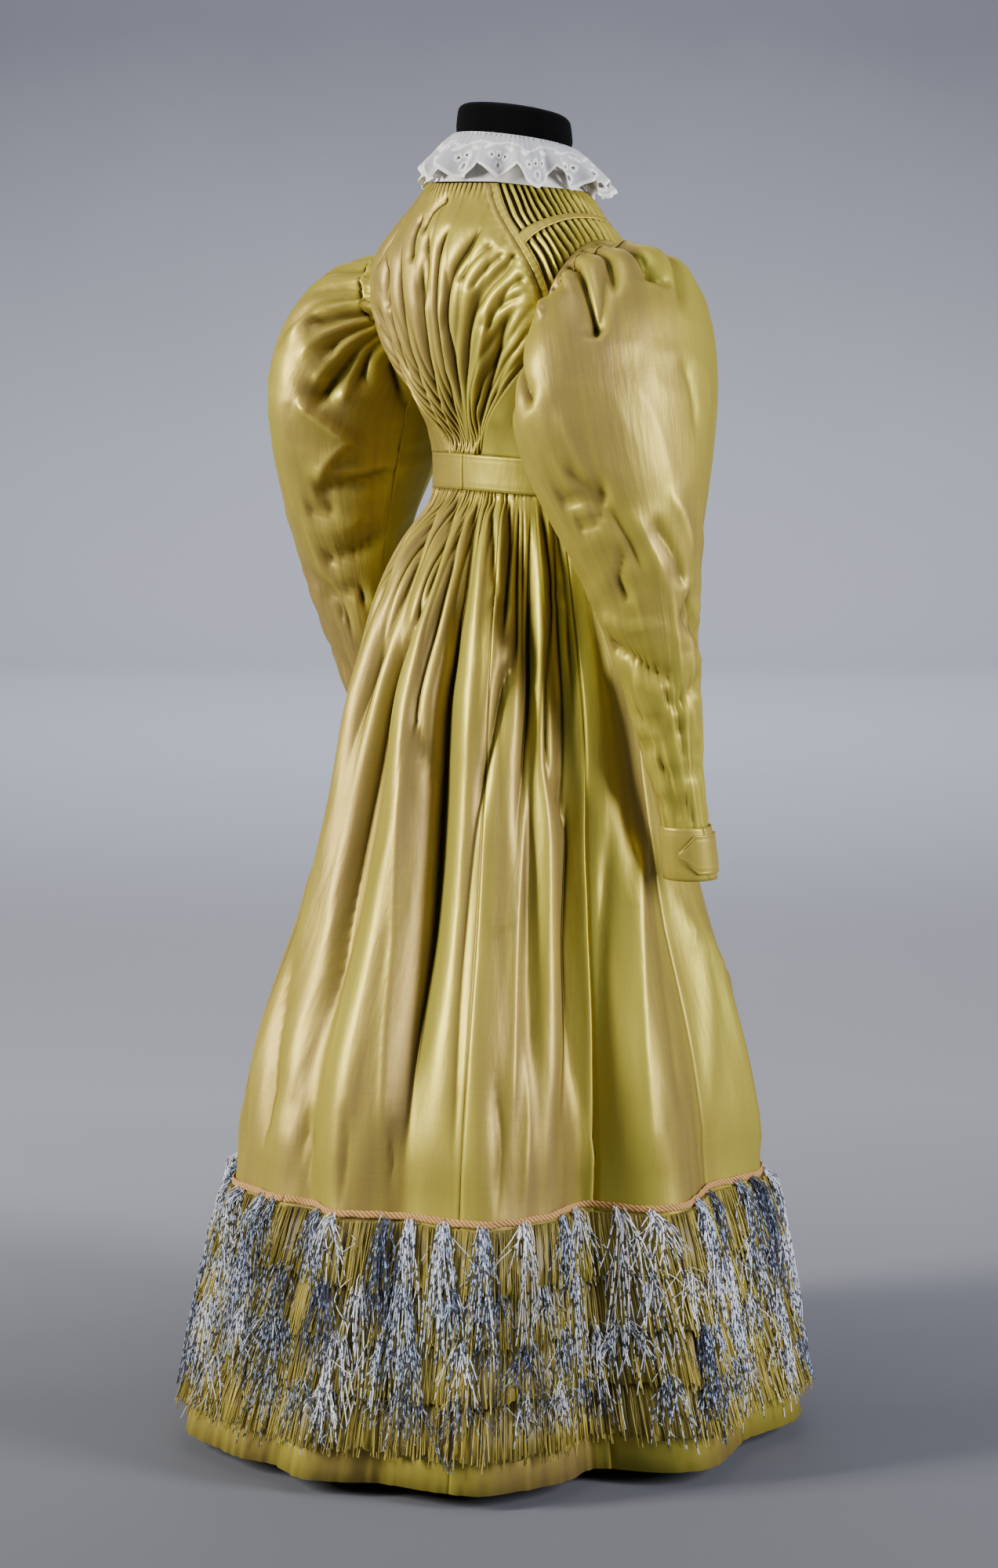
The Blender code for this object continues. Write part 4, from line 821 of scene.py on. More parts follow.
def grid_mesh(name, across, down, place, size, closed=False):
    """A grid bent into its form: place takes arrays from 0 to 1 across and from 0 to 1 down, and gives points."""
    bm = bmesh.new()
    layer = bm.loops.layers.uv.new("UVMap")
    bmesh.ops.create_grid(bm, x_segments=across, y_segments=down, size=0.5)
    for face in bm.faces:
        for loop in face.loops:
            x, y, _ = loop.vert.co
            loop[layer].uv = ((x + 0.5) * size[0], (y + 0.5) * size[1])
    mesh = bpy.data.meshes.new(name)
    bm.to_mesh(mesh)
    bm.free()
    flat = spots_of(mesh)
    points = place(flat[:, 0] + 0.5, 0.5 - flat[:, 1])
    mesh.vertices.foreach_set("co", points.reshape(-1))
    mesh.update()
    if closed:
        bm = bmesh.new()
        bm.from_mesh(mesh)
        bmesh.ops.remove_doubles(bm, verts=bm.verts, dist=0.00002)
        bm.to_mesh(mesh)
        bm.free()
    return mesh


def face_out(mesh, centre):
    """Turns all the faces over if most of them look at the centre."""
    count = len(mesh.polygons)
    normals, centres = np.empty(count * 3), np.empty(count * 3)
    mesh.polygons.foreach_get("normal", normals)
    mesh.polygons.foreach_get("center", centres)
    away = centres.reshape(-1, 3) - np.array(centre)
    if (normals.reshape(-1, 3) * away).sum() < 0:
        mesh.flip_normals()


def piece(name, mesh, material, nodes, thick=0.0):
    """Puts a mesh in the scene in place of the solids named, as a wall if it has a thickness."""
    mesh.shade_smooth()
    mesh.materials.append(material)
    obj = bpy.data.objects.new(name, mesh)
    bpy.context.scene.collection.objects.link(obj)
    if thick:
        wall = obj.modifiers.new("thickness", "SOLIDIFY")
        wall.thickness = thick
        wall.offset = -1.0
        wall.use_even_offset = False
    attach(obj, "root")
    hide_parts(*nodes)
    return obj


def store_painted_light_values(mesh, centre):
    """Stores what the shot silk paints its light from: how far each place is turned to the wearer's right, for the
    painted sheen on its flanks, and how it is folded, for the painted shade in its hollows and the painted highlight on
    its crests.

    The fold is 0 in a sharp hollow, where the painted shade is darkest, a half where the cloth lies flat and 1 on a
    sharp crest, where the painted highlight is brightest.
    """
    count = len(mesh.vertices)
    spots, normals = spots_of(mesh), np.empty(count * 3)
    mesh.vertex_normals.foreach_get("vector", normals)
    normals = normals.reshape(-1, 3)
    ends = np.empty(len(mesh.edges) * 2, dtype=int)
    mesh.edges.foreach_get("vertices", ends)
    first, last = ends.reshape(-1, 2).T
    step = spots[last] - spots[first]
    size = np.maximum((step**2).sum(1), 1e-9)
    near = np.bincount(first, minlength=count) + np.bincount(last, minlength=count)
    bend = np.bincount(first, (step * normals[first]).sum(1) / size, count)
    bend = (bend - np.bincount(last, (step * normals[last]).sum(1) / size, count)) / near
    for _ in range(5):
        around = np.bincount(first, bend[last], count) + np.bincount(last, bend[first], count)
        bend = 0.5 * bend + 0.5 * around / near
    away = spots - np.array(centre)
    turn = np.arctan2(-away[:, 0], away[:, 1])
    # Which way each flank faces round the dress: it fixes the painted sheen of the shot colour on it
    flank = -normals[:, 0] * np.cos(turn) - normals[:, 1] * np.sin(turn)
    store(mesh, "turned", np.clip(0.5 + 0.9 * flank, 0, 1))
    # How sharply the cloth bends, from which the silk paints shade in its hollows and a highlight on its crests
    store(mesh, "fold", np.clip(0.5 - bend / SHARP_BEND, 0, 1))


def cloth(
    name, across, down, place, size, material, centre, thick=SILK, closed=False, slot="silk", held="hung", trims=()
):
    """A sheet of cloth that replaces the solid of the same name. It measures its cut, which is then not used; the
    narrow trims that lie on it are not used.
    """
    mesh = grid_mesh(name, across, down, place, size, closed)
    face_out(mesh, centre)
    store_painted_light_values(mesh, centre)
    area = sum(p.area for p in mesh.polygons)
    made = piece(f"{name}_cloth", mesh, material, [name], thick)
    u, v = np.linspace(0, 1, across + 1), np.linspace(0, 1, down + 1)
    widths = [
        np.linalg.norm(np.diff(place(u, np.full_like(u, t)), axis=0), axis=1).sum() for t in (0.0, 0.35, 0.7, 1.0)
    ]
    lengths = [
        np.linalg.norm(np.diff(place(np.full_like(v, t), v), axis=0), axis=1).sum() for t in (0.02, 0.35, 0.65, 0.98)
    ]
    width, length = max(widths), max(lengths)
    if min(width, length) > 0.012:
        width, length = round(width + 0.0005, 4), round(length + 0.0005, 4)
        area = min(round(area, 5), width * length)
    return made


# The skirt


def skirt_turn(cut, z):
    """Where a place of the skirt as cut lies round the dress at a height."""
    share = np.maximum(0.0, (z - TRIM_TOP_Z) / (WAIST_Z - TRIM_TOP_Z))
    low = np.interp(cut, [s.cut for s in SEAMS], [s.low for s in SEAMS])
    high = np.interp(cut, [s.cut for s in SEAMS], [s.waist for s in SEAMS])
    return low + share * (high - low)


def fold_height(turn, z):
    """How far the skirt's large folds stand out from its section."""
    total = 0.0
    for fold in FOLDS:
        place = curve([(TRIM_TOP_Z, fold.low), (FOLD_MIDDLE_Z, fold.middle), (WAIST_Z, fold.waist)])
        depth = curve(
            [(TRIM_TOP_Z, fold.trim), (FOLD_MIDDLE_Z, fold.knee), (FOLD_HIP_Z, fold.hip), (WAIST_Z - 0.01, 0)]
        )
        away = (turn - place(z) + 180) % 360 - 180
        total = total + depth(z) / 1000 * np.exp(-((away / fold.spread) ** 2))
    return total


def crease_height(turn, z):
    """The skirt's creases: they run down it, so their places are scaled by its radius."""
    radius = 110 + 200 * np.clip((1.07 - z) / 0.75, 0, 1)
    return crease_field(turn, z, np.radians(1) * radius, 1000.0, SKIRT_CREASES)


def waist_gathers(cut, z):
    """The gathers under the waistband: close at the band, then merging into pipes and broad folds as they fall."""
    cut = (cut + 180) % 360 - 180
    phase = (cut + GATHERED) / (2 * GATHERED) * WAIST_GATHERS
    fall = WAIST_Z - z
    drift = 0.60 * hash_noise(phase * 0.31, fall * 5, 3) + 0.35 * hash_noise(phase * 0.9, fall * 2, 4)
    phase = phase + drift
    uneven = 1 + 0.55 * hash_noise(phase * 0.5, 0 * z, 5)
    other = 1 + 0.5 * hash_noise(phase * 0.3 + 9, fall * 3, 6)
    fine = 0.0034 * np.exp(-fall / (0.020 * uneven))
    pipes = 0.0022 * uneven * smooth(fall / 0.025) * np.exp(-fall / 0.15)
    broad = 0.0020 * other * smooth(fall / 0.07) * np.exp(-fall / 0.36)
    height = fine * (2 * np.abs(np.cos(np.pi * phase)) ** 0.7 - 1.2)
    height = height + pipes * (2 * np.abs(np.cos(np.pi * phase / 2.3 + 0.5)) ** 0.75 - 1.2)
    height = height + broad * (2 * np.abs(np.cos(np.pi * phase / 4.6 + 1.1)) ** 0.9 - 1.2)
    inside = smooth((GATHERED - np.abs(cut)) / 5)
    return height * inside


def skirt_surface(cut, z, out=0.0):
    """The skirt's outside, with all its folds."""
    turn = skirt_turn(cut, z)
    lift = WAIST_RISE * np.cos(np.radians(turn)) * smooth((z - 0.9) / (WAIST_Z - 0.9))
    height = fold_height(turn, z) + crease_height(turn, z) + waist_gathers(cut, z) * smooth((z - 0.60) / 0.2)
    height = height + 0.009 * smooth((1.074 - z) / 0.03) * smooth((z - 0.70) / 0.25)
    height = held_out(height, SKIRT_ROOM(z))
    # Seams draw the cloth in a little, and the plain cloth near the hem puckers
    for seam in SEAMS:
        away = np.abs((cut - seam.cut + 180) % 360 - 180)
        height = height - 0.0012 * np.exp(-((away * 5.0) ** 2)) * (abs(seam.cut) != 180)
    height = height + 0.0016 * hash_noise(turn * 0.9, z * 60, 8) * smooth((0.10 - z) / 0.06)
    height = height + 0.0007 * hash_noise(turn * 0.35, z * 22, 9)
    return on_section(SKIRT_CURVES, turn, z + lift, height + out)


def make_skirt(silk, trims):
    """The skirt's seven panels."""
    levels = curve([(0.0, 1.0725), (0.18, 1.020), (0.42, 0.870), (0.72, 0.520), (0.87, 0.310), (1.0, HEM_Z)])
    for panel in PANELS:

        def place(u, v, panel=panel):
            return skirt_surface(panel.first + (panel.last - panel.first) * u, levels(v))

        size = ((panel.last - panel.first) / 360 * 1.6, 1.06)
        on_it = trims if panel.node == "skirt_back" else ()
        cloth(panel.node, panel.across, panel.down, place, size, silk, (0, 0, 0.5), held="gathered", trims=on_it)


def trim_point(turn, z, out):
    """A point on the straight foot of the skirt, moved out, as the solids have it."""

    def at(level):
        return on_section(SKIRT_CURVES, turn, level, fold_height(turn, level) + out)

    low, high = at(np.full_like(turn, HEM_Z)), at(np.full_like(turn, TRIM_TOP_Z))
    share = ((z - HEM_Z) / (TRIM_TOP_Z - HEM_Z))[:, None]
    return low + (high - low) * share


# The bodice


def bodice_surface(turn, z, out):
    """The bodice's outside. Its waist rises a little behind, as the band does."""
    lift = WAIST_RISE * np.cos(np.radians(turn)) * smooth((1.20 - z) / (1.20 - BODICE_Z))
    return on_section(BODICE_CURVES, turn, z + lift, out)


def back_folds(turn, z, edge, count, depth, seed):
    """Folds held close at the waist, which open like a fan, bend outwards and run into the side seams."""
    share = np.clip((z - BODICE_Z) / (NECK_Z - BODICE_Z), 0, 1)
    fan = 21 + 120 * share**1.35
    phase = turn / fan * count + 0.42 * hash_noise(turn * 0.045, z * 8, seed) + 0.16 * hash_noise(turn * 0.2, z * 20, 2)
    uneven = 1 + 0.65 * hash_noise(phase * 0.45 + 7, z * 13, seed + 1)
    strength = np.interp(share, (0.0, 0.10, 0.42, 0.75, 1.0), (0.75, 1.10, 0.95, 0.50, 0.28))
    height = depth * strength * uneven * (2 * np.abs(np.cos(np.pi * phase)) ** 0.75 - 1.2)
    # Short gathers stand square to the strip and under the neck
    inward = (edge - np.abs(turn)) * math.radians(1) * 0.11
    puckers = 2 * np.abs(np.cos(np.pi * (z + 0.002 * hash_noise(z * 90, 0 * z, 6)) / 0.0092)) ** 0.8 - 1.1
    height = height + 0.0011 * puckers * np.exp(-((inward / 0.013) ** 2)) * smooth((z - 1.20) / 0.04)
    neck = 2 * np.abs(np.cos(np.pi * turn / 3.4)) ** 0.8 - 1.1
    height = height + 0.0007 * neck * np.exp(-(((NECK_Z - z) / 0.012) ** 2))
    return height * smooth((inward - 0.001) / 0.006)


def make_bodice(silk):
    """The strips along the back's edges, the back, the front and the plain sides."""
    levels = curve([(0.0, NECK_Z), (0.56, 1.285), (1.0, BODICE_Z + 0.0004)])
    strips = {}
    for word, side in (("left", -1), ("right", 1)):

        def strip(u, v, side=side):
            z = NECK_Z + (SHOULDER_SEAM_Z - NECK_Z) * v
            x, y = flat_point(BODICE_CURVES, BACK_SEAM_CURVE(z), z)
            half = np.degrees(STRIP_HALF / np.hypot(x, y))
            # A ridge between two rows of stitches, drawn up a little by the gathers beside it
            bow = 0.0008 * (1 - np.abs(2 * u - 1) ** 4) + 0.0003 * np.sin(v * 120 + 3 * u)
            return bodice_surface(side * (BACK_SEAM_CURVE(z) + half * (2 * u - 1)), z, 0.0024 + bow)

        name = f"back_strip_{word}"
        strips[word] = cloth(name, 6, 80, strip, (0.008, 0.16), silk, (0, 0, 1.25), thick=HEAVY_SILK)

    def back(u, v):
        z = levels(v)
        edge = BACK_SEAM_CURVE(z) - 0.1
        turn = -edge + 2 * edge * u
        radius = np.radians(1) * (85 + 45 * smooth((z - 1.113) / 0.12) - 30 * smooth((z - 1.35) / 0.07))
        laid = crease_field(turn, z, radius, 1000.0, BODICE_CREASES)
        inward = (edge - np.abs(turn)) * radius
        laid = laid * smooth((inward - 1) / 8) * (0.35 + 0.65 * smooth((z - BODICE_Z) / 0.02))
        laid = 1.25 * laid + back_folds(turn, z, edge, 8.5, 0.0014, 11) + 0.0062 * smooth((inward - 1) / 8)
        return bodice_surface(turn, z, held_out(laid, 0.0046))

    trims = list(strips.values())
    cloth("bodice_back", 170, 110, back, (0.27, 0.31), silk, (0, 0, 1.25), held="gathered", trims=trims)

    def front(u, v):
        z = np.minimum(levels(v), FRONT_NECK_Z)
        edge = 180 - FRONT_SEAM_CURVE(z) - 0.1
        turn = -edge + 2 * edge * u
        return bodice_surface(turn + 180, z, back_folds(turn, z, edge, 6.5, 0.0026, 17))

    cloth("bodice_front", 64, 50, front, (0.26, 0.30), silk, (0, 0, 1.25), held="gathered")

    for word, side in (("left", -1), ("right", 1)):

        def under_arm(u, v, side=side):
            first = 62 + 56 * u
            share = (first - ARMHOLE_TURN) / (ARMHOLE_SPREAD + 2)
            arm = ARMHOLE_Z - ARMHOLE_RISE * np.sqrt(np.maximum(0.0, 1 - share * share))
            ends = np.minimum(u, 1 - u)
            top = arm - 0.002 + (1.265 - arm + 0.002) * (1 - smooth(ends / 0.02))
            z = top + (BODICE_Z + 0.0004 - top) * v
            low, high = BACK_SEAM_CURVE(z) + 0.1, FRONT_SEAM_CURVE(z) - 0.1
            turn = low + (high - low) * u
            strain = 0.0022 * hash_noise(turn * 0.05, z * 55 + turn * 0.05, 21) * smooth(ends / 0.1)
            return bodice_surface(side * turn, z, strain)

        cloth(f"bodice_side_{word}", 48, 40, under_arm, (0.16, 0.15), silk, (0, 0, 1.2))


def shoulder_surface(side, share, down, height):
    """The shoulder between neck and armhole: share runs from the back to the front, down from the neck."""
    bow = np.sin(np.pi * share)
    neck = NECK_Z - NECK_DIP * share
    arm = SHOULDER_SEAM_Z + (SHOULDER_TOP_Z - SHOULDER_SEAM_Z) * bow**0.7
    z = neck + (arm - neck) * down
    low, high = BACK_SEAM_CURVE(z) + 0.15, FRONT_SEAM_CURVE(z) - 0.15
    return bodice_surface(side * (low + (high - low) * share), z, height)


def knife_pleats(share, down, count, depth):
    """Pleats all laid one way: a slow rise, a sharp edge and a dark gap behind it."""
    phase = share * count + 0.16 * hash_noise(share * 9, down * 2.5, 25) + 0.10 * np.sin(share * 31 + down * 2)
    part = phase - np.floor(phase)
    rise = 0.35 + 0.65 * (part / 0.55) ** 0.7
    step = np.where(part < 0.55, rise, np.where(part < 0.64, 1 - (part - 0.55) / 0.09, 0.0))
    inside = smooth(np.minimum(share, 1 - share) * 0.15 / 0.006)
    return depth * (2 * step - 1) * inside


def make_shoulders(silk):
    """A plain band on each shoulder, with a row of narrow pleats above and below it."""
    for word, side in (("left", -1), ("right", 1)):

        def band(u, v, side=side):
            bow = 0.0026 + 0.0006 * (1 - np.abs(2 * v - 1) ** 4) + 0.0002 * np.sin(u * 110)
            return shoulder_surface(side, u, 0.466 + 0.094 * v, bow)

        strap = cloth(f"shoulder_band_{word}", 70, 6, band, (0.16, 0.008), silk, (0, 0, 1.25), thick=HEAVY_SILK)
        for part, top, foot, count in (("upper", 0.0, 0.476, 22), ("lower", 0.550, 1.06, 20)):

            def pleats(u, v, side=side, top=top, foot=foot, count=count):
                ends = 0.50 + 0.50 * smooth(np.minimum(v, 1 - v) / 0.22)
                return shoulder_surface(side, u, top + (foot - top) * v, ends * knife_pleats(u, v, count, 0.0044))

            trims = [strap] if part == "upper" else ()
            name = f"shoulder_pleats_{part}_{word}"
            cloth(name, count * 11, 10, pleats, (0.3, 0.055), silk, (0, 0, 1.25), held="folded", trims=trims)


def make_waistband(silk):
    """The waistband, drawn in along its two rows of stitches."""
    def place(u, v):
        turn = 360 * u
        z = BODICE_Z + (WAIST_Z - BODICE_Z) * v + WAIST_RISE * np.cos(np.radians(turn))
        edges = 0.0005 * np.exp(-(((np.abs(2 * v - 1) - 0.86) / 0.05) ** 2))
        slack = 0.0006 * hash_noise(turn * 0.05, v * 2.2, 31)
        return on_section(BODICE_CURVES, turn, z, 0.0018 + slack - edges)

    cloth("waistband", 180, 12, place, (0.61, 0.040), silk, (0, 0, 1.09), thick=HEAVY_SILK, closed=True)


# The sleeves


SLEEVE_CURVES = [curve([(k, ring[c]) for k, ring in enumerate(SLEEVE)]) for c in range(6)]
# Millimetres of cloth from ring to ring, and to a degree at each ring
RING_STEP = 72.0
SLEEVE_GIRTH = curve([(-1, 1.2), (0, 1.5), (2, 1.9), (3.5, 1.85), (5, 1.3), (6, 0.95), (7, 0.74), (9, 0.45)])


def sleeve_surface(side, angle, ring, out):
    """A point of a sleeve: ring -1 is the armhole and 9 the wrist; angle 0 is on the outer side, 90 at the back."""
    c, s = np.cos(np.radians(angle)), np.sin(np.radians(angle))
    k = np.maximum(ring, 0.0)
    outer_x, outer_z, inner_x, inner_z, mid_y, half_depth = [f(k) for f in SLEEVE_CURVES]
    half_x, half_z = (outer_x - inner_x) / 2, (outer_z - inner_z) / 2
    length = np.hypot(half_x, half_z)
    tube = np.stack(
        [
            (outer_x + inner_x) / 2 + (length + out) * c * half_x / length,
            mid_y + (half_depth + out) * s,
            (outer_z + inner_z) / 2 + (length + out) * c * half_z / length,
        ],
        -1,
    )
    turn = ARMHOLE_TURN - (ARMHOLE_SPREAD + 1.5) * s
    edge = bodice_surface(turn, ARMHOLE_Z + (ARMHOLE_RISE + 0.010) * c, SLEEVE_STAND + 0 * c)
    edge[:, 0] *= -1
    # The cloth stands up steeply from the seam, so that its puffs hang over it
    share = (np.clip(-ring, 0, 1) ** 2.2)[:, None]
    points = tube * (1 - share) + edge * share
    points[:, 0] *= side
    return points


def cap_gathers(angle, ring, seed):
    """Small gathers drawn up along the armhole, close together at the seam and gone a hand's breadth below it."""
    away = np.abs((angle + 180) % 360 - 180)
    phase = angle / 9.5 + 0.55 * hash_noise(angle * 0.035, ring * 0.7, seed)
    reach = 0.75 + 0.45 * hash_noise(angle * 0.06, 0 * ring, seed + 1)
    close = 0.0026 * np.exp(-(((ring + 0.75) / reach) ** 2))
    height = close * (2 * np.abs(np.cos(np.pi * phase)) ** 0.8 - 1.15)
    # The head of the sleeve puffs up just past the seam
    height = height + 0.008 * np.exp(-(((ring + 0.25) / 0.5) ** 2)) * np.clip(np.cos(np.radians(away)) + 0.3, 0, 1)
    return height * smooth((CAP_REACH + 34 - away) / 40) * smooth((ring + 1) / 0.2)


def sleeve_creases(angle, ring, creases):
    """The heights of the creases placed on a sleeve."""
    return crease_field(angle, ring, SLEEVE_GIRTH(ring), RING_STEP, creases)


def crowded(u, angle):
    """Angles from -180 to 180 round a sleeve, closest together about the angle given, where the folds are sharp."""
    half_turn = 2 * np.pi * u - np.pi
    return 360 * u - 180 - CROWDING * (np.sin(half_turn - math.radians(angle)) - math.sin(math.radians(angle)))


def make_sleeves(silk):
    """Each sleeve as it hangs, its turned-back cuff and the cuff's pointed overlap."""
    for word, side, hang, seed, seen, grid in (
        ("left", 1, (LEFT_SLEEVE_CREASES, curve(LEFT_SLEEVE_SET), curve(LEFT_SLEEVE_BACK)), 41, 140, (152, 124)),
        ("right", -1, (RIGHT_SLEEVE_CREASES, curve(RIGHT_SLEEVE_SET), curve(RIGHT_SLEEVE_BACK)), 45, 30, (176, 140)),
    ):

        def place(u, v, side=side, hang=hang, seed=seed, seen=seen):
            angle = crowded(u, seen)
            ring = -1 + 10 * (0.60 * v + 0.40 * v * v)
            creases, set_out, set_back = hang
            out = cap_gathers(angle, ring, seed) + sleeve_creases(angle, ring, creases)
            out = out + set_out(ring) / 1000 * np.clip(np.cos(np.radians(angle - 5)) * 1.2, 0, 1)
            out = out + set_back(ring) / 1000 * np.clip(np.cos(np.radians(angle - 112)), 0, 1) ** 2
            # The crisp crumple of silk that has been handled
            crumple = 1 - 2 * np.abs(hash_noise(angle * 0.045, ring * 1.9 + angle * 0.01, seed + 5))
            out = out + 0.0009 * crumple * smooth((ring - 1.5) / 2)
            # Small buckles on the narrow forearm
            buckle = 1 - 2 * np.abs(hash_noise(angle * 0.018, ring * 4.2, seed + 6))
            out = out + 0.0012 * buckle * smooth((ring - 4.2) / 1.5)
            return sleeve_surface(side, angle, ring, out)

        centre = (side * 0.235, 0.03, 1.15)
        cloth(f"sleeve_{word}", *grid, place, (0.62, 0.72), silk, centre, closed=True, held="gathered")

        def cuff_place(u, v, side=side, out=0.0):
            angle = np.radians(360 * u)
            half_width, half_depth = 0.0295 + 0.001 * v, 0.0290 + 0.001 * v
            turned = 0.0007 * (1 - (2 * v - 1) ** 6) + 0.0004 * hash_noise(u * 9, v * 3, seed)
            rim = -0.0005 * np.exp(-(((np.abs(2 * v - 1) - 0.88) / 0.05) ** 2))
            r = out + turned + rim
            return np.stack(
                [
                    side * (CUFF_X + (half_width + r) * np.cos(angle)),
                    -0.0315 - 0.008 * v + (half_depth + r) * np.sin(angle),
                    CUFF_Z - 0.060 * v,
                ],
                -1,
            )

        centre = (side * CUFF_X, -0.036, 0.69)
        cloth(f"cuff_{word}", 60, 16, cuff_place, (0.21, 0.06), silk, centre, HEAVY_SILK, closed=True)

        def tab(u, v, side=side, cuff_place=cuff_place):
            span = math.degrees(0.062 / 0.0295)
            reach = np.where(u > 0.70, 1 - 0.97 * (u - 0.70) / 0.30, 1.0)
            share = 0.5 + (2 * v - 1) * 0.367 * reach
            edge = np.exp(-(((np.abs(2 * v - 1) - 0.84) / 0.06) ** 2))
            out = 0.0026 - 0.0004 * edge + 0.0012 * smooth((u - 0.8) / 0.2)
            return cuff_place((-60 + span * u) / 360, share, side, out)

        cloth(f"cuff_tab_{word}", 36, 24, tab, (0.062, 0.044), silk, centre, HEAVY_SILK)


# The collar


def neck_edge(turn):
    """The height of the neck's edge, which dips to the front."""
    away = np.abs((turn + 180) % 360 - 180)
    back, front = BACK_SEAM_CURVE(NECK_Z), FRONT_SEAM_CURVE(FRONT_NECK_Z)
    return NECK_Z - NECK_DIP * np.clip((away - back) / (front - back), 0, 1)


def make_collar(lawn, work):
    """The linen stand and the whitework frill that falls from its top."""
    def stand(u, v):
        turn = 360 * u
        z = COLLAR_Z + (neck_edge(turn) + 0.0008 - COLLAR_Z) * v
        crush = 0.0012 * hash_noise(turn * 0.12, v * 5, 51) * smooth(v / 0.2)
        points = on_section(BODICE_CURVES, turn, z, crush)
        points[:, 2] += NECK_SLOPE * points[:, 1] * smooth((z - 1.415) / 0.03)
        return points

    cloth("collar_stand", 120, 20, stand, (0.5, 0.05), lawn, (0, 0, 1.44), LAWN, closed=True, slot="linen")

    def frill(u, v):
        angle = 2 * math.pi * u
        cell = u * SCALLOPS
        part = cell - np.floor(cell)
        point = (1 - np.abs(2 * part - 1)) ** 0.8
        # Every scallop hangs in its own way: some stand out, some fall straight and some curl over
        own = 1.5 * hash_noise(np.floor(cell) * 3.7 + smooth(part) * 3.7, 0 * cell, 53)
        flute = np.cos(2 * math.pi * cell + 0.8 * own) + 0.5 * hash_noise(u * 46, v * 1.2, 55)
        fall = v**1.25
        longer = SCALLOP_DEPTH * point * np.clip((v - 0.45) / 0.55, 0, 1)
        drop = (FRILL_DROP + 0.006) * fall + longer * 0.9 + 0.004 * own * v
        reach = COLLAR_RADIUS + (FRILL_REACH - 0.010) * v + 0.0075 * fall * flute + 0.006 * own * v + longer * 0.25
        gathers = 0.0012 * np.cos(u * 520 + 2 * own) * np.exp(-v / 0.25)
        x, y = -reach * np.sin(angle), reach * np.cos(angle)
        z = COLLAR_Z - 0.0010 - drop + gathers + 0.003 * flute * v + NECK_SLOPE * y * (COLLAR_RADIUS / reach)
        return np.stack([x, y, z], -1)

    made = cloth("collar_frill", 476, 26, frill, (FRILL_ROUND, FRILL_LONG), work, (0, 0, 1.40), LAWN, slot="linen")
    cut_whitework(made.data)


def cut_whitework(mesh):
    """Cuts the eyelets, three near each point, and marks the stitched rings, leaves and edge."""
    uv = np.empty(len(mesh.loops) * 2)
    mesh.uv_layers[0].data.foreach_get("uv", uv)
    index = np.empty(len(mesh.loops), dtype=int)
    mesh.loops.foreach_get("vertex_index", index)
    place = np.zeros((len(mesh.vertices), 2))
    place[index] = uv.reshape(-1, 2)
    cell = place[:, 0] / FRILL_ROUND * SCALLOPS
    x = ((cell - np.floor(cell)) - 0.5) * 0.040
    y = FRILL_LONG - place[:, 1]
    eyelets = ((0.0, 0.041, 0.0019), (-0.0075, 0.034, 0.0015), (0.0075, 0.034, 0.0015), (0.0, 0.031, 0.0013))
    stitched = smooth((y - 0.0465) / 0.0015)
    near = np.full(len(x), 1.0)
    for ex, ey, r in eyelets:
        away = np.hypot(x - ex, y - ey)
        stitched = np.maximum(stitched, 1 - smooth((np.abs(away - r - 0.0009) - 0.0006) / 0.0008))
        near = np.minimum(near, away - r)
    for side in (-1, 1):
        leaf = np.hypot(x - side * 0.0115, (y - 0.026 - side * (x - side * 0.0115) * 0.6) * 2.2)
        stitched = np.maximum(stitched, 1 - smooth((leaf - 0.0042) / 0.0012))
    stem = np.abs(y - 0.020 - 0.0025 * np.sin(cell * 2 * math.pi))
    stitched = np.maximum(stitched, 1 - smooth((stem - 0.0008) / 0.0008))
    store(mesh, "stitched", stitched)
    bm = bmesh.new()
    bm.from_mesh(mesh)
    bm.verts.ensure_lookup_table()
    holes = [f for f in bm.faces if sum(near[v.index] for v in f.verts) / len(f.verts) < 0.0]
    bmesh.ops.delete(bm, geom=holes, context="FACES")
    bm.to_mesh(mesh)
    bm.free()


# The fringe


def strand_mesh(name, count, rings):
    """One thin three-sided tube, repeated by an array; its points are placed afterwards."""
    bm = bmesh.new()
    made = bmesh.ops.create_circle(bm, segments=3, radius=1.0)
    edges = list({e for v in made["verts"] for e in v.link_edges})
    for _ in range(rings - 1):
        grown = bmesh.ops.extrude_edge_only(bm, edges=edges)["geom"]
        verts = [g for g in grown if isinstance(g, bmesh.types.BMVert)]
        edges = [g for g in grown if isinstance(g, bmesh.types.BMEdge)]
        bmesh.ops.translate(bm, verts=verts, vec=(0, 0, -1))
    mesh = bpy.data.meshes.new(name)
    bm.to_mesh(mesh)
    bm.free()
    holder = bpy.data.objects.new(name, mesh)
    bpy.context.scene.collection.objects.link(holder)
    array = holder.modifiers.new("array", "ARRAY")
    array.count = count
    array.use_relative_offset = False
    array.use_constant_offset = True
    array.constant_offset_displace = (10, 0, 0)
    graph = bpy.context.evaluated_depsgraph_get()
    joined = bpy.data.meshes.new_from_object(holder.evaluated_get(graph))
    bpy.data.objects.remove(holder, do_unlink=True)
    joined.name = name
    spots = spots_of(joined)
    which = np.round(spots[:, 0] / 10).astype(int)
    angle = np.arctan2(spots[:, 1], spots[:, 0] - which * 10)
    return joined, which, np.round(-spots[:, 2]).astype(int), angle


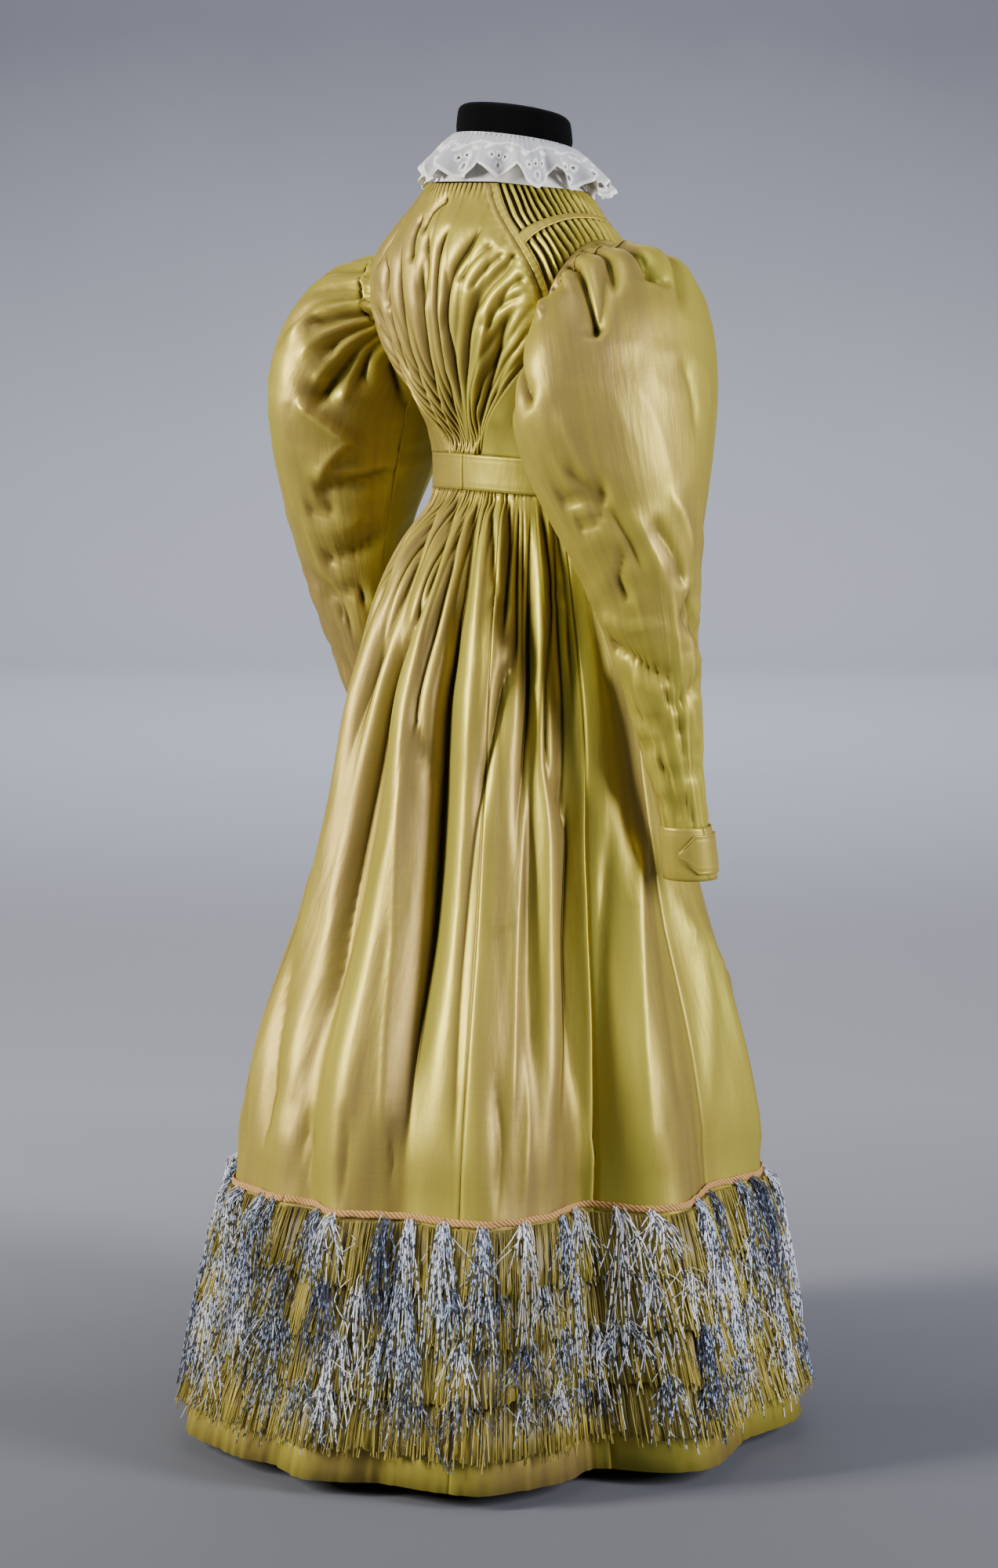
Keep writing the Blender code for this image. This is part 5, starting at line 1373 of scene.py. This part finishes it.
def place_strands(name, turn, lines, width, attributes, nodes, material):
    """Strands along lines of points (strand, ring, xyz), as thick as width (strand, ring), closed at both ends."""
    width = width.copy()
    width[:, 0] = width[:, -1] = 0.0
    mesh, which, ring, angle = strand_mesh(name, lines.shape[0], lines.shape[1])
    outward = np.stack([-np.sin(np.radians(turn)), np.cos(np.radians(turn)), 0 * turn], -1)
    beside = np.stack([np.cos(np.radians(turn)), np.sin(np.radians(turn)), 0 * turn], -1)
    radius = width[which, ring][:, None]
    points = outward[which] * np.cos(angle)[:, None] + beside[which] * np.sin(angle)[:, None]
    points = lines[which, ring] + radius * points
    mesh.vertices.foreach_set("co", points.reshape(-1))
    for key, values in attributes.items():
        store(mesh, key, values[which, ring])
    mesh.update()
    bm = bmesh.new()
    bm.from_mesh(mesh)
    ends = [v for v in bm.verts if width[which[v.index], ring[v.index]] == 0]
    bmesh.ops.remove_doubles(bm, verts=ends, dist=0.000001)
    bmesh.ops.recalc_face_normals(bm, faces=bm.faces)
    bm.to_mesh(mesh)
    bm.free()
    return piece(name, mesh, material, nodes)


def make_fringe(gold, knop, tape):
    """Four rows of threads, the knop yarn over them and the tape at their head."""
    random = np.random.default_rng(SEED)
    for row in range(4):
        make_thread_row(random, row, gold)
    make_knop_bunches(random, knop)
    return make_tape(tape)


def make_thread_row(random, row, gold):
    """One row of the fringe: a curtain of threads with a ragged foot, and loose threads that hang over it."""
    top = TRIM_Z - row * ROW_DROP
    node = f"fringe_row_{row + 1}"
    across, down = 760, 3

    def curtain(u, v):
        turn = 360 * u
        ragged = 0.0035 * hash_noise(turn * 1.9, 0 * v, 81 + row) + 0.003 * hash_noise(turn * 0.3, 0 * v, 85 + row)
        z = top - (0.066 + ragged) * v
        lumps = 0.0022 * hash_noise(turn * 0.5, v * 1.2, 91 + row) * v
        return trim_point(turn, z, 0.0022 + 0.0105 * v**0.8 + lumps + 0.0006 * np.cos(np.radians(turn) * 380))

    mesh = grid_mesh(f"{node}_curtain", across, down, curtain, (2.0, 0.066), True)
    face_out(mesh, (0, 0, 0.2))
    spots = spots_of(mesh)
    turn, z = turns_of(spots), spots[:, 2]
    # Painted shade: the curtain, the dense mass of threads behind the loose ones, is given a dark tone for the shade
    # among them, uneven at random
    shade = 0.30 + 0.26 * hash_noise(turn * 2.1, z * 8, 71) + 0.14 * hash_noise(turn * 0.4, z * 20, 72)
    store(mesh, "shade", np.clip(shade, 0, 1))
    made = piece(f"{node}_curtain", mesh, gold, [node], 0.0008)

    count, rings = 1600, 5
    turn = np.sort(random.uniform(0, 360, count))
    long = 0.071 * random.uniform(0.84, 1.08, count)
    lean = random.normal(0, 0.0016, count) + 0.004 * hash_noise(turn * 0.10, 0 * turn, 61)
    layer = random.uniform(0, 1, count)
    lines = np.zeros((count, rings, 3))
    for k, t in enumerate((0.0, 0.02, 0.5, 0.99, 1.0)):
        away = 0.0030 + 0.0155 * t**0.8 * (0.45 + 0.55 * layer) + 0.001 * layer
        curl = 0.0012 * random.normal(0, 1, count) * t
        lines[:, k] = trim_point(turn + np.degrees((lean * t + curl) / FRINGE_RADIUS), top - long * t, away)
    width = np.tile(0.00068 * random.uniform(0.8, 1.25, count)[:, None], (1, rings))
    # Painted shade: each loose thread is darker at its root under the tape, and a little at its tip
    shade = random.normal(0.60, 0.15, count)[:, None] * np.array((0.55, 0.65, 1.0, 1.05, 0.85))[None, :]
    place_strands(f"{node}_threads", turn, lines, width, {"shade": np.clip(shade, 0, 1)}, [node], gold)


# A row of knop bunches: how far apart they are in degrees, their threads, the height of their heads, and their length
Bunches = namedtuple("Bunches", "apart threads head shortest longest")
KNOP_ROWS = [
    Bunches(7.5, 34, 0.300, 0.070, 0.190),
    Bunches(9.0, 28, 0.243, 0.070, 0.150),
    Bunches(8.5, 26, 0.186, 0.060, 0.125),
    Bunches(9.5, 22, 0.130, 0.050, 0.085),
]


def make_knop_bunches(random, knop):
    """Bunches of knop yarn, fanned out from their heads, with a few loose curls among them."""
    rings = 10
    turns, tops, spreads, lengths, outs, tints = [], [], [], [], [], []
    for row, kind in enumerate(KNOP_ROWS):
        for place in np.arange(0, 360, kind.apart):
            many = int(kind.threads * random.uniform(0.6, 1.35))
            middle = place + random.uniform(-3.0, 3.0) + row * 3.7
            reach = random.uniform(kind.shortest, kind.longest)
            fan = random.uniform(0.014, 0.036)
            tint = random.choice((0.12, 0.40, 0.55, 0.75, 0.85, 0.95))
            turns.append(middle + random.normal(0, 0.55, many))
            tops.append(kind.head + random.normal(0, 0.0025, many))
            spreads.append(random.uniform(-1, 1, many) * fan)
            lengths.append(np.minimum(reach * random.uniform(0.45, 1.15, many), kind.head - 0.038))
            outs.append(random.uniform(0.009, 0.0215, many))
            tints.append(np.clip(tint + random.normal(0, 0.14, many), 0, 1))
    turn, top, spread, length, out, tint = [np.concatenate(a) for a in (turns, tops, spreads, lengths, outs, tints)]
    count = len(turn)
    loose = random.uniform(0, 1, count) < 0.09
    curl_size = np.where(loose, 0.011, 0.0014)
    curl_phase = random.uniform(0, 6.3, count)
    lines = np.zeros((count, rings, 3))
    steps = np.concatenate([[0.0, 0.01], np.linspace(0.12, 0.99, rings - 3), [1.0]])
    for k, t in enumerate(steps):
        curl = curl_size * (np.sin(curl_phase + t * 5.5) - np.sin(curl_phase))
        around = turn + np.degrees((spread * t**0.75 + curl) / FRINGE_RADIUS)
        rise = float(smooth(np.array(t / 0.16)))
        away = 0.0045 + (out - 0.0045) * rise + 0.0012 * np.sin(curl_phase + t * 7)
        lines[:, k] = trim_point(around, top - length * t, away)
    width = 0.00062 * random.uniform(0.7, 1.3, (count, rings))
    along = random.uniform(0, 9, count)[:, None] + length[:, None] * steps[None, :]
    shade = np.tile(tint[:, None], (1, rings))
    half = count // 2
    for part, chosen in (("one", slice(0, half)), ("two", slice(half, count))):
        place_strands(
            f"knop_yarn_{part}",
            turn[chosen],
            lines[chosen],
            width[chosen],
            {"shade": shade[chosen], "along": along[chosen]},
            ["fringe_braid"],
            knop,
        )


def make_stitches(thread):
    """Small hand stitches: along the waistband and the strips."""
    rows = []

    def row(surface, count, length):
        """Stitches along a line: surface gives points from 0 to 1."""
        for k in range(count):
            rows.append(surface((k + 0.5 + np.linspace(-0.5, 0.5, 5) * length) / count))

    for share in (0.07, 0.93):

        def edge(t, share=share):
            turn = 360 * t
            z = BODICE_Z + (WAIST_Z - BODICE_Z) * share + WAIST_RISE * np.cos(np.radians(turn))
            return on_section(BODICE_CURVES, turn, z, 0.0021)

        row(edge, 165, 0.62)
    for side in (-1, 1):
        for across in (-0.72, 0.72):

            def strip(t, side=side, across=across):
                z = NECK_Z + (SHOULDER_SEAM_Z - NECK_Z) * t
                x, y = flat_point(BODICE_CURVES, BACK_SEAM_CURVE(z), z)
                half = np.degrees(STRIP_HALF / np.hypot(x, y))
                return bodice_surface(side * (BACK_SEAM_CURVE(z) + half * across), z, 0.0031)

            row(strip, 44, 0.6)
    lines = np.array(rows)
    count, rings = lines.shape[0], lines.shape[1]
    turn = turns_of(lines[:, 2])
    width = np.tile(np.array((0.0, 0.00035, 0.00045, 0.00035, 0.0))[None, :], (count, 1))
    shade = np.full((count, rings), 0.9)
    place_strands("stitches", turn, lines, width, {"shade": shade}, ["waistband"], thread)


def make_tape(tape):
    """The tan tape that the fringe hangs from."""
    def place(u, v):
        turn = 360 * u
        z = TRIM_TOP_Z + 0.001 - 0.0075 * v + 0.0008 * hash_noise(turn * 0.4, 0 * u, 71)
        return trim_point(turn, z, 0.0030 + 0.0008 * hash_noise(turn * 0.6, v * 2, 72))

    mesh = grid_mesh("fringe_tape", 520, 3, place, (1.95, 0.0075), True)
    face_out(mesh, (0, 0, 0.3))
    return piece("fringe_tape", mesh, tape, ["fringe_braid"], 0.0010)


# The camera, the floor and the light

CAMERA_DISTANCE = 4.5
CAMERA_HEIGHT = 1.38
CAMERA_TURN = 50
CAMERA_PITCH = 8.12
AXIS_SHIFT = 0.01735
LENS = 91.0

# The paper, in metres: where it starts before the dress, its floor, the bend's radius, its whole run and its width
PAPER_START = 3.6
PAPER_FLAT = 11.4
PAPER_BEND = 1.4
PAPER_RUN = 18.0
PAPER_WIDTH = 20.0


def make_camera():
    """The camera, 50 degrees round from straight behind, as the photo was taken."""
    turn = math.radians(CAMERA_TURN)
    towards = Vector((-math.sin(turn), math.cos(turn), 0))
    right = Vector((-math.cos(turn), -math.sin(turn), 0))
    data = bpy.data.cameras.new("camera")
    data.sensor_fit = "VERTICAL"
    data.sensor_height = 36.0
    data.lens = LENS
    camera = bpy.data.objects.new("camera", data)
    bpy.context.scene.collection.objects.link(camera)
    camera.location = towards * CAMERA_DISTANCE + Vector((0, 0, CAMERA_HEIGHT))
    drop = CAMERA_DISTANCE * math.tan(math.radians(CAMERA_PITCH))
    target = Vector((0, 0, CAMERA_HEIGHT - drop)) - right * AXIS_SHIFT
    camera.rotation_euler = (target - camera.location).to_track_quat("-Z", "Y").to_euler()
    bpy.context.scene.camera = camera
    return towards, right


def area_light(name, place, target, size, watts, colour):
    """A soft lamp that looks at a place and isn't itself seen."""
    data = bpy.data.lights.new(name, "AREA")
    data.shape = "RECTANGLE"
    data.size, data.size_y = size
    data.energy = watts
    data.color = linear(colour)[:3]
    lamp = bpy.data.objects.new(name, data)
    lamp.location = place
    lamp.visible_camera = False
    lamp.rotation_euler = (Vector(target) - Vector(place)).to_track_quat("-Z", "Y").to_euler()
    bpy.context.scene.collection.objects.link(lamp)


def background_paper():
    """Matt grey paper with faint clouds. Its tone along its run is painted light and shade: dark on the floor before
    and under the dress, lighter behind it, lightest just before the floor bends up into the backdrop, and darker again
    through the bend and up the backdrop.
    """
    material, tree, shader = start_material("pale grey background paper")
    place = add(tree, "ShaderNodeTexCoord")
    run = add(tree, "ShaderNodeAttribute", {"attribute_name": "along"})
    # Clouds 0.8 m across
    mottle = add(tree, "ShaderNodeTexNoise", {"Scale": 1.2, "Detail": 3.0}, {"Vector": place.outputs["Object"]})
    wear_and_painted_light = add(
        tree,
        "ShaderNodeMath",
        {"operation": "MULTIPLY_ADD", 1: 0.02},
        {0: mottle.outputs["Fac"], 2: run.outputs["Fac"]},
    )
    # Painted light and shade along the run, with a little mottle: a dark floor about the dress, a painted pool of light
    # near the foot of the backdrop, and darker again up it
    painted_floor_light_stops = ((0.18, "#585A61"), (0.21, "#5F6169"), (0.30, "#A4A6AE"), (0.50, "#BABCC3"))
    stops = (*painted_floor_light_stops, (0.62, "#DADCE2"), (0.72, "#BEC0C7"), (0.76, "#A3A5AC"), (0.80, "#84868D"))
    colour = add(tree, "ShaderNodeValToRGB", links={"Fac": wear_and_painted_light.outputs["Value"]}, stops=stops)
    tree.links.new(colour.outputs["Color"], shader.inputs["Base Color"])
    settle(shader, {"Roughness": 0.9})
    return material


def make_sweep(towards, right):
    """A sweep of paper: the floor curves up into the backdrop. Each point keeps its share of the run, from which its
    painted light and shade are drawn.
    """
    bm = bmesh.new()
    bmesh.ops.create_grid(bm, x_segments=2, y_segments=72, size=0.5)
    along = bm.verts.layers.float.new("along")
    arc = PAPER_BEND * math.pi / 2
    for v in bm.verts:
        across, share = v.co.x * PAPER_WIDTH, v.co.y + 0.5
        v[along] = share
        run = share * PAPER_RUN
        if run < PAPER_FLAT:
            depth, height = run, 0.0
        elif run < PAPER_FLAT + arc:
            angle = (run - PAPER_FLAT) / PAPER_BEND
            depth, height = PAPER_FLAT + PAPER_BEND * math.sin(angle), PAPER_BEND * (1 - math.cos(angle))
        else:
            depth, height = PAPER_FLAT + PAPER_BEND, PAPER_BEND + run - PAPER_FLAT - arc
        spot = towards * (PAPER_START - depth) + right * across
        v.co = (spot.x, spot.y, height)
    mesh = bpy.data.meshes.new("paper_sweep")
    bm.to_mesh(mesh)
    bm.free()
    mesh.shade_smooth()
    mesh.materials.append(background_paper())
    sweep = bpy.data.objects.new("paper_sweep", mesh)
    bpy.context.scene.collection.objects.link(sweep)


def make_lights(towards, right):
    """Two large soft lamps before the dress, one from each side, a faint one above it, and two for the paper."""
    left = -right
    up = Vector((0, 0, 1))
    area_light("key", towards * 1.3 + left * 3.5 + up * 2.0, (0, 0, 0.70), (0.9, 1.6), 300, "#FFFBF2")
    area_light("second", towards * 1.7 + right * 2.8 + up * 1.6, (0, 0, 0.95), (1.0, 1.6), 175, "#FCFBFF")
    area_light("top", up * 3.6 + towards * 0.6, (0, 0, 0.6), (1.4, 1.4), 20, "#F2F4FF")
    # Two lamps hung behind the dress light the backdrop and the floor before it
    area_light("backdrop", -towards * 5.0 + up * 3.4, -towards * 9.2 + up * 0.6, (5.0, 2.0), 120, "#EEF0FF")
    area_light("floor", -towards * 4.4 + up * 3.8, -towards * 4.5, (3.0, 2.0), 72, "#EEF0FF")
    bpy.data.lights["backdrop"].spread = math.radians(170)
    bpy.data.lights["floor"].spread = math.radians(160)
    world = bpy.data.worlds.new("soft grey room")
    world.use_nodes = True
    back = world.node_tree.nodes["Background"]
    back.inputs["Color"].default_value = linear("#C9CDD6")
    back.inputs["Strength"].default_value = 0.24
    bpy.context.scene.world = world


def make_form(jersey):
    """The padded form's cover: smooth from the hips to a cut-off neck, with a seam up each side and the back."""
    hips = curve([(0.880, 0.116), (0.900, 0.126), (0.950, 0.124), (1.000, 0.115), (1.045, 0.1095)])
    backs = curve([(0.880, 0.083), (0.900, 0.094), (0.950, 0.093), (1.000, 0.082), (1.045, 0.0725)])
    clearance = curve([(1.060, 0.004), (1.120, 0.006), (1.150, 0.009), (1.360, 0.009), (1.400, 0.007), (1.440, 0.0034)])
    levels = curve(
        [(0.0, 1.5005), (0.10, 1.4995), (0.16, 1.492), (0.24, 1.470), (0.5, 1.33), (0.78, 1.06), (1.0, 0.880)]
    )
    shrink = [(0.0, 0.0), (0.05, 0.030), (0.10, 0.0540), (0.135, 0.0605), (0.16, 0.0632), (0.24, 0.0655)]

    def place(u, v):
        turn, z = 360 * u, levels(v)
        side, ahead = np.sin(np.radians(turn)), np.cos(np.radians(turn))
        low = 1 / np.hypot(side / hips(np.minimum(z, 1.045)), ahead / backs(np.minimum(z, 1.045)))
        x, y = flat_point(BODICE_CURVES, turn, np.clip(z, 1.06, 1.468))
        high = np.hypot(x, y) - clearance(np.clip(z, 1.06, 1.44))
        r = low + (high - low) * smooth((z - 1.045) / 0.02)
        r = np.where(v < 0.24, np.interp(v, [s[0] for s in shrink], [s[1] for s in shrink]), r)
        seam = np.minimum(np.abs((turn + 45) % 90 - 45), 45) * 0.0012
        r = np.maximum(r - 0.0007 * np.exp(-((seam / 0.0016) ** 2)), 0)
        return np.stack([-r * side, r * ahead, z + NECK_SLOPE * r * ahead * smooth((z - 1.415) / 0.03)], -1)

    mesh = grid_mesh("form_cover", 64, 64, place, (0.7, 0.62), True)
    face_out(mesh, (0, 0, 1.2))
    bm = bmesh.new()
    bm.from_mesh(mesh)
    bmesh.ops.holes_fill(bm, edges=[e for e in bm.edges if e.is_boundary], sides=0)
    bm.to_mesh(mesh)
    bm.free()
    piece("form_cover", mesh, jersey, ["form_torso"])


def finish_stand(enamel):
    """The stand keeps its solids and takes its finish."""
    for name in ("stand_pole", "stand_base"):
        solid = bpy.data.objects[name]
        solid.data.materials.clear()
        solid.data.materials.append(enamel)


def main():
    towards, right = make_camera()
    make_sweep(towards, right)
    make_lights(towards, right)
    silk = shot_taffeta()
    lawn = cotton_lawn()
    work = whitework()
    gold = silk_yarn()
    knop = knop_yarn()
    make_skirt(silk, [make_fringe(gold, knop, woven_tape())])
    make_bodice(silk)
    make_shoulders(silk)
    make_waistband(silk)
    make_sleeves(silk)
    make_collar(lawn, work)
    make_stitches(gold)
    make_form(black_jersey())
    finish_stand(black_enamel())


main()
